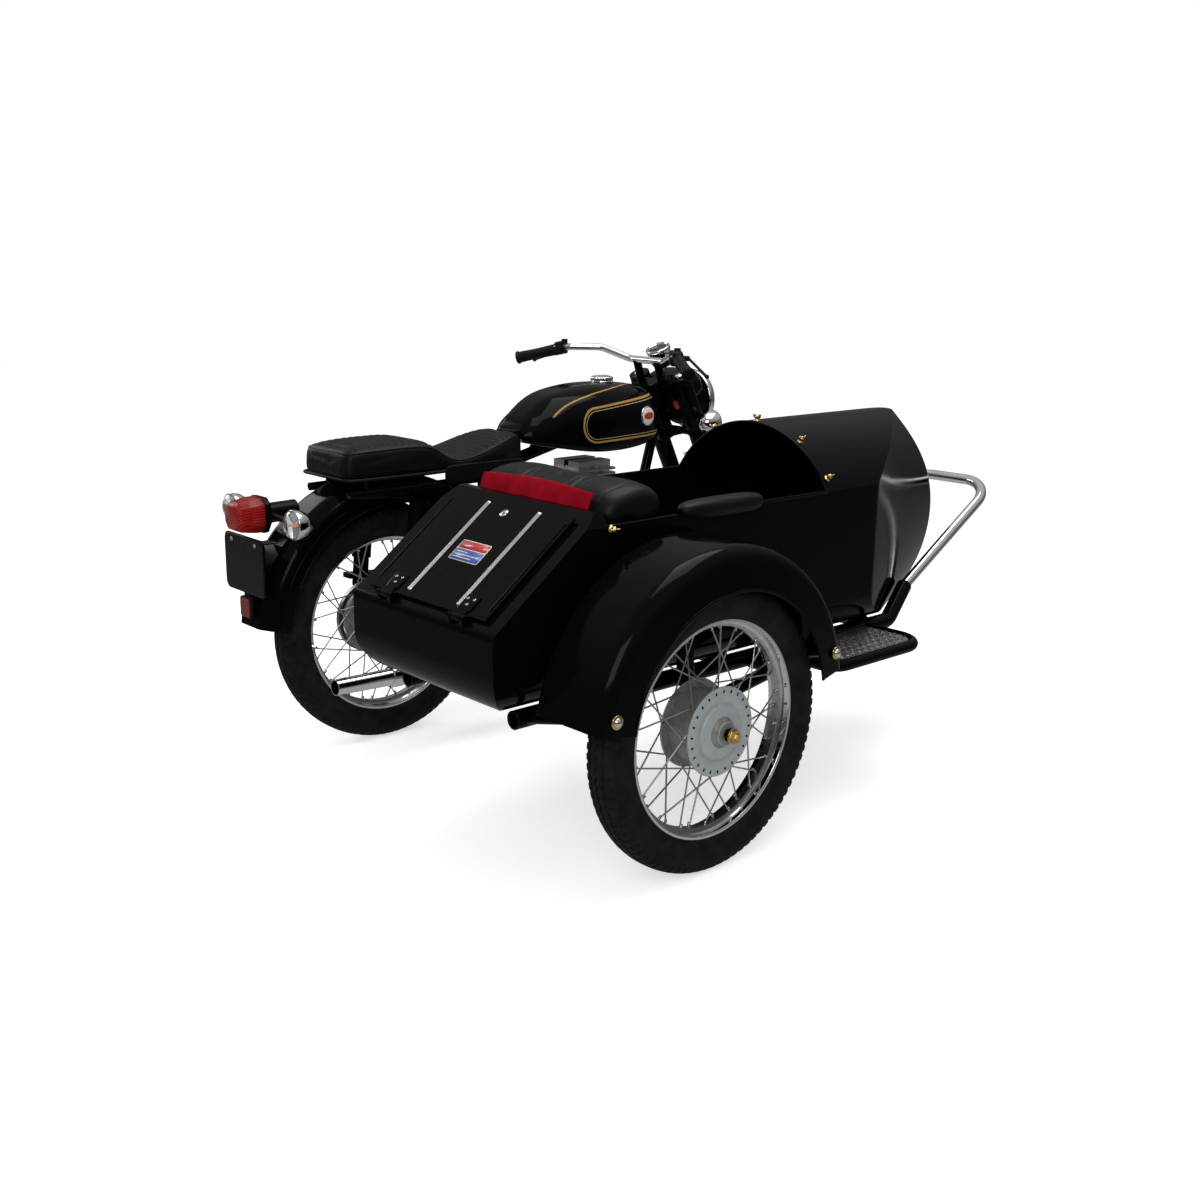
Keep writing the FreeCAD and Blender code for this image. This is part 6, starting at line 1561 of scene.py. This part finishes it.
# %% Fuel cap
def toothed(name, profile, foot, teeth, depth):
    """A turned form along +Z whose rim radius waves by depth where the profile says so."""
    turn = np.linspace(0, 2 * math.pi, teeth * 6, endpoint=False)[None]
    table = np.asarray(profile, float)
    wave = 1 - depth * table[:, 2:3] * (0.5 + 0.5 * np.cos(turn * teeth))
    r = table[:, 1:2] * wave
    points = np.stack(
        [foot[0] + r * np.cos(turn), foot[1] + r * np.sin(turn),
        foot[2] + table[:, :1] * np.ones_like(turn)], -1)
    return add_mesh(name, points, closed_grid(len(table), turn.shape[1]))


cap = toothed(
    "toothed_fuel_cap", [(-0.004, 0.0280, 0), (0.004, 0.0280, 0), (0.0045, 0.0340, 0),
    (0.0070, 0.0345, 0), (0.0076, 0.0320, 0), (0.0095, 0.0320, 0), (0.0100, 0.0345, 1),
    (0.0115, 0.0350, 1), (0.0185, 0.0350, 1), (0.0200, 0.0340, 1), (0.0208, 0.0300, 0),
    (0.0235, 0.0180, 0), (0.0245, 0.0040, 0)], at(0.812, 0.0, 0.9415), 30, 0.035)
finish_piece("outfit", CHROME, "chrome", cap, "fuel_cap")
print("fuel cap", [round(v, 3) for v in cap.dimensions])

# %% Tank badge
BADGE_AT = (0.892, 0.848)


def badge(name, side, halves, lift, finish, rows=10, columns=56):
    """An oval plate laid on the tank's side: rings of a disc, each point cast sideways onto it."""
    share = np.linspace(0.02, 1.0, rows)
    turn = np.linspace(0, 2 * math.pi, columns, endpoint=False)
    grid = []
    for s in share:
        for angle in turn:
            x = BADGE_AT[0] + halves[0] * s * math.cos(angle)
            z = BADGE_AT[1] + halves[1] * s * math.sin(angle)
            hit, place, normal, _ = FUEL_TANK.ray_cast(Vector(at(x, side * 0.4, z)), Vector(
                (0, -side, 0)))
            grid.append(np.array(place) + np.array(normal) * lift * min(1.0, (1.02 - s) * 6))
    points = np.array(grid).reshape(rows, columns, 3)
    finish_piece("outfit", finish, "chrome", add_mesh(name, points, closed_grid(rows, columns)))


for tag, side in SIDES:
    badge("tank_badge_rim_" + tag, side, (0.034, 0.030), 0.0016, CHROME)
    badge("tank_badge_field_" + tag, side, (0.030, 0.026), 0.0026, CREAM)
    badge("tank_badge_bar_" + tag, side, (0.026, 0.012), 0.0036, RED_PAINT)
print("two badges")

# %% [markdown]
# ## The step's tread
# The step is a black tube bent to a loop, with an alloy tread plate in it. Its raised lozenges
# lie crosswise in turn, so that a boot grips both ways. The plate is a height field: each
# lozenge is an ellipse whose long axis turns a right angle from one cell to the next.

# %% Step tread
STEP_REAR, STEP_FRONT, STEP_IN, STEP_OUT, STEP_UP = 0.500, 0.862, -0.990, -1.186, 0.3765
REAR_R, FRONT_R, STEP_TUBE_R, STEP_TUBE_UP = 0.050, 0.070, 0.0148, 0.368
TREAD_ROWS, TREAD_COLUMNS = 96, 200


def lozenges(x, y, pitch=0.017):
    """0 to 1: how far each point lies up a lozenge, in a lattice turned by 45 degrees."""
    u, v = (x + y) / (pitch * math.sqrt(2)), (x - y) / (pitch * math.sqrt(2))
    odd = (np.floor(u) + np.floor(v)) % 2
    du, dv = (u % 1.0) - 0.5, (v % 1.0) - 0.5
    long, short = np.where(odd > 0, du, dv), np.where(odd > 0, dv, du)
    return np.clip(1.25 * (1 - (long / 0.46) ** 2 - (short / 0.15) ** 2), 0, 1)


def step_loop():
    """The tube's path seen from above: out from the chassis, along, and back in, with two bends."""
    turn = np.linspace(0, math.pi / 2, 16)
    rear = np.stack(
        [STEP_REAR + REAR_R * (1 - np.cos(turn)), STEP_OUT + REAR_R * (1 - np.sin(turn))], 1)
    front = np.stack(
        [STEP_FRONT - FRONT_R * (1 - np.sin(turn)), STEP_OUT + FRONT_R * (1 - np.cos(turn))], 1)
    flat = np.vstack([[(STEP_REAR, STEP_IN)], rear, front, [(STEP_FRONT, STEP_IN)]])
    return np.column_stack([flat, np.full(len(flat), STEP_TUBE_UP)]) + DATUM


def step_tread():
    """The lozenge plate inside the loop: each row across it starts and ends at the tube's bend."""
    y = np.linspace(STEP_OUT + 0.006, STEP_IN - 0.016, TREAD_ROWS)[:, None]
    t = np.linspace(0, 1, TREAD_COLUMNS)[None]

    def drawn_in(radius):
        return radius - np.sqrt(radius ** 2 - np.clip(STEP_OUT + radius - y, 0, radius) ** 2)

    low, high = STEP_REAR + 0.004 + drawn_in(REAR_R), STEP_FRONT - 0.004 - drawn_in(FRONT_R)
    x = low + (high - low) * t
    z = STEP_UP + 0.0013 * lozenges(x, y + 0 * t)
    points = np.stack([x, y + 0 * t, z], -1)
    return add_mesh("step_tread", points + DATUM, grid_faces(TREAD_ROWS, TREAD_COLUMNS))


finish_piece(
    "outfit", ENAMEL, "black_paint", tube("step_loop", step_loop(), STEP_TUBE_R, 20), "step_plate")
tread = step_tread()
sheet = tread.modifiers.new("sheet", "SOLIDIFY")
sheet.thickness, sheet.offset = 0.003, -1.0
applied(tread)
finish_piece("outfit", ALLOY, "step_alloy", tread)
print("step tread", len(tread.data.polygons), "faces")

# %% [markdown]
# ## Camera, floor and light
# The camera stands behind the machine on its right, at eye height, and looks a little down. The
# room is a white studio: a floor with no edge, three large soft lamps, and a world that the lens
# and the glass see as plain white, while gloss on the chrome and the paint sees a dark horizon
# under a brighter ceiling, and the paint is lit by softer light.

# %% Camera
CAMERA_AT = (-2.6867, -2.6954, 1.3237)
CAMERA_TURN, CAMERA_DOWN, CAMERA_ROLL = 0.74097, 0.245416, -0.0148111


def add_camera():
    """A camera whose axes come from three angles: turned to the right, down, and rolled."""
    s, c = math.sin(CAMERA_TURN), math.cos(CAMERA_TURN)
    ahead = np.array([s * math.cos(CAMERA_DOWN), c * math.cos(CAMERA_DOWN), -math.sin(CAMERA_DOWN)])
    right = np.array([c, -s, 0.0])
    down = np.cross(ahead, right)
    across = math.cos(CAMERA_ROLL) * right + math.sin(CAMERA_ROLL) * down
    below = -math.sin(CAMERA_ROLL) * right + math.cos(CAMERA_ROLL) * down
    data = bpy.data.cameras.new("view")
    data.lens, data.sensor_width = 41.4, 36.0
    data.clip_start, data.clip_end = 0.05, 60.0
    camera = bpy.data.objects.new("view", data)
    turn = Matrix([[across[i], -below[i], -ahead[i]] for i in range(3)]).to_4x4()
    camera.matrix_world = Matrix.Translation(CAMERA_AT) @ turn
    bpy.context.scene.collection.objects.link(camera)
    bpy.context.scene.camera = camera
    return camera


print("camera", add_camera().data.lens, "mm")

# %% Floor
def add_floor():
    """A pale disc far wider than the view: seen straight it is almost white, with a soft shadow."""
    points = lathe_points([(0.0, 0.001), (0.0, 14.0)], (0, 0, -0.0005), (0, 0, 1), 96)
    floor = add_mesh("studio_floor", points, closed_grid(2, 96)[:96])
    made = Finish("pale_floor", rgb(0.80, 0.80, 0.80), 0.7, Specular_IOR_Level=0.2)
    made.set("Roughness", made.noise(3, 2) * 0.05 + 0.68)
    seen = node(made.tree, "ShaderNodeLightPath", output=0)
    made.shader.inputs["Emission Strength"].default_value = 1.0
    made.set("Emission Color", made.mix(seen, rgb(0, 0, 0), rgb(0.60, 0.60, 0.60)))
    floor.data.materials.append(made.material)
    floor.visible_glossy = False


add_floor()
print("floor ready")

# %% Lamps and world
def add_lamp(name, place, aim, size, watts):
    """A rectangular soft lamp that faces its aim."""
    data = bpy.data.lights.new(name, "AREA")
    data.shape, data.size, data.size_y = "RECTANGLE", size[0], size[1]
    data.energy = watts
    lamp = bpy.data.objects.new(name, data)
    lamp.location = place
    lamp.rotation_euler = (Vector(aim) - Vector(place)).to_track_quat("-Z", "Y").to_euler()
    lamp.visible_camera = False
    bpy.context.scene.collection.objects.link(lamp)


def set_world():
    """Plain light on the object, and white where the camera or glass looks past it. What gloss
    sees is a pale floor, a dark horizon and a bright ceiling, as in a studio."""
    world = bpy.data.worlds.new("studio")
    bpy.context.scene.world = world
    world.use_nodes = True
    tree = world.node_tree
    tree.nodes.clear()
    camera, glossy, through = [node(tree, "ShaderNodeLightPath", output=i) for i in (0, 3, 6)]
    way = node(tree, "ShaderNodeTexCoord", output=0)
    height = node(tree, "ShaderNodeSeparateXYZ", {}, {0: way}, 2)
    tone = node(
        tree, "ShaderNodeValToRGB",
        {"stops": [(0.30, rgb(0.40, 0.40, 0.40)), (0.46, rgb(0.08, 0.08, 0.08)),
        (0.62, rgb(0.14, 0.14, 0.14)), (0.85, rgb(0.5, 0.5, 0.5))]}, {0: height * 0.5 + 0.5})
    soft = node(tree, "ShaderNodeBackground", {}, {0: rgb(1, 1, 1), 1: 0.55})
    mirror = node(tree, "ShaderNodeBackground", {}, {0: tone, 1: 1.0})
    pure = node(tree, "ShaderNodeBackground", {}, {0: rgb(1, 1, 1), 1: 1.0})
    both = node(tree, "ShaderNodeMixShader", {}, {0: glossy, 1: soft, 2: mirror})
    both = node(tree, "ShaderNodeMixShader", {}, {0: camera.larger(through), 1: both, 2: pure})
    out = tree.nodes.new("ShaderNodeOutputWorld")
    tree.links.new(both.socket, out.inputs[0])


set_world()
add_lamp("top_soft", (0.2, -0.2, 3.4), (0, 0, 0.4), (2.6, 2.0), 60)
add_lamp("rear_right", (-3.2, -2.4, 2.4), (0, -0.3, 0.5), (1.6, 1.6), 36)
add_lamp("left_soft", (-1.2, 3.4, 1.9), (0, 0, 0.5), (1.8, 1.4), 26)
bpy.context.scene.view_settings.view_transform = "Standard"
print("lamps ready")
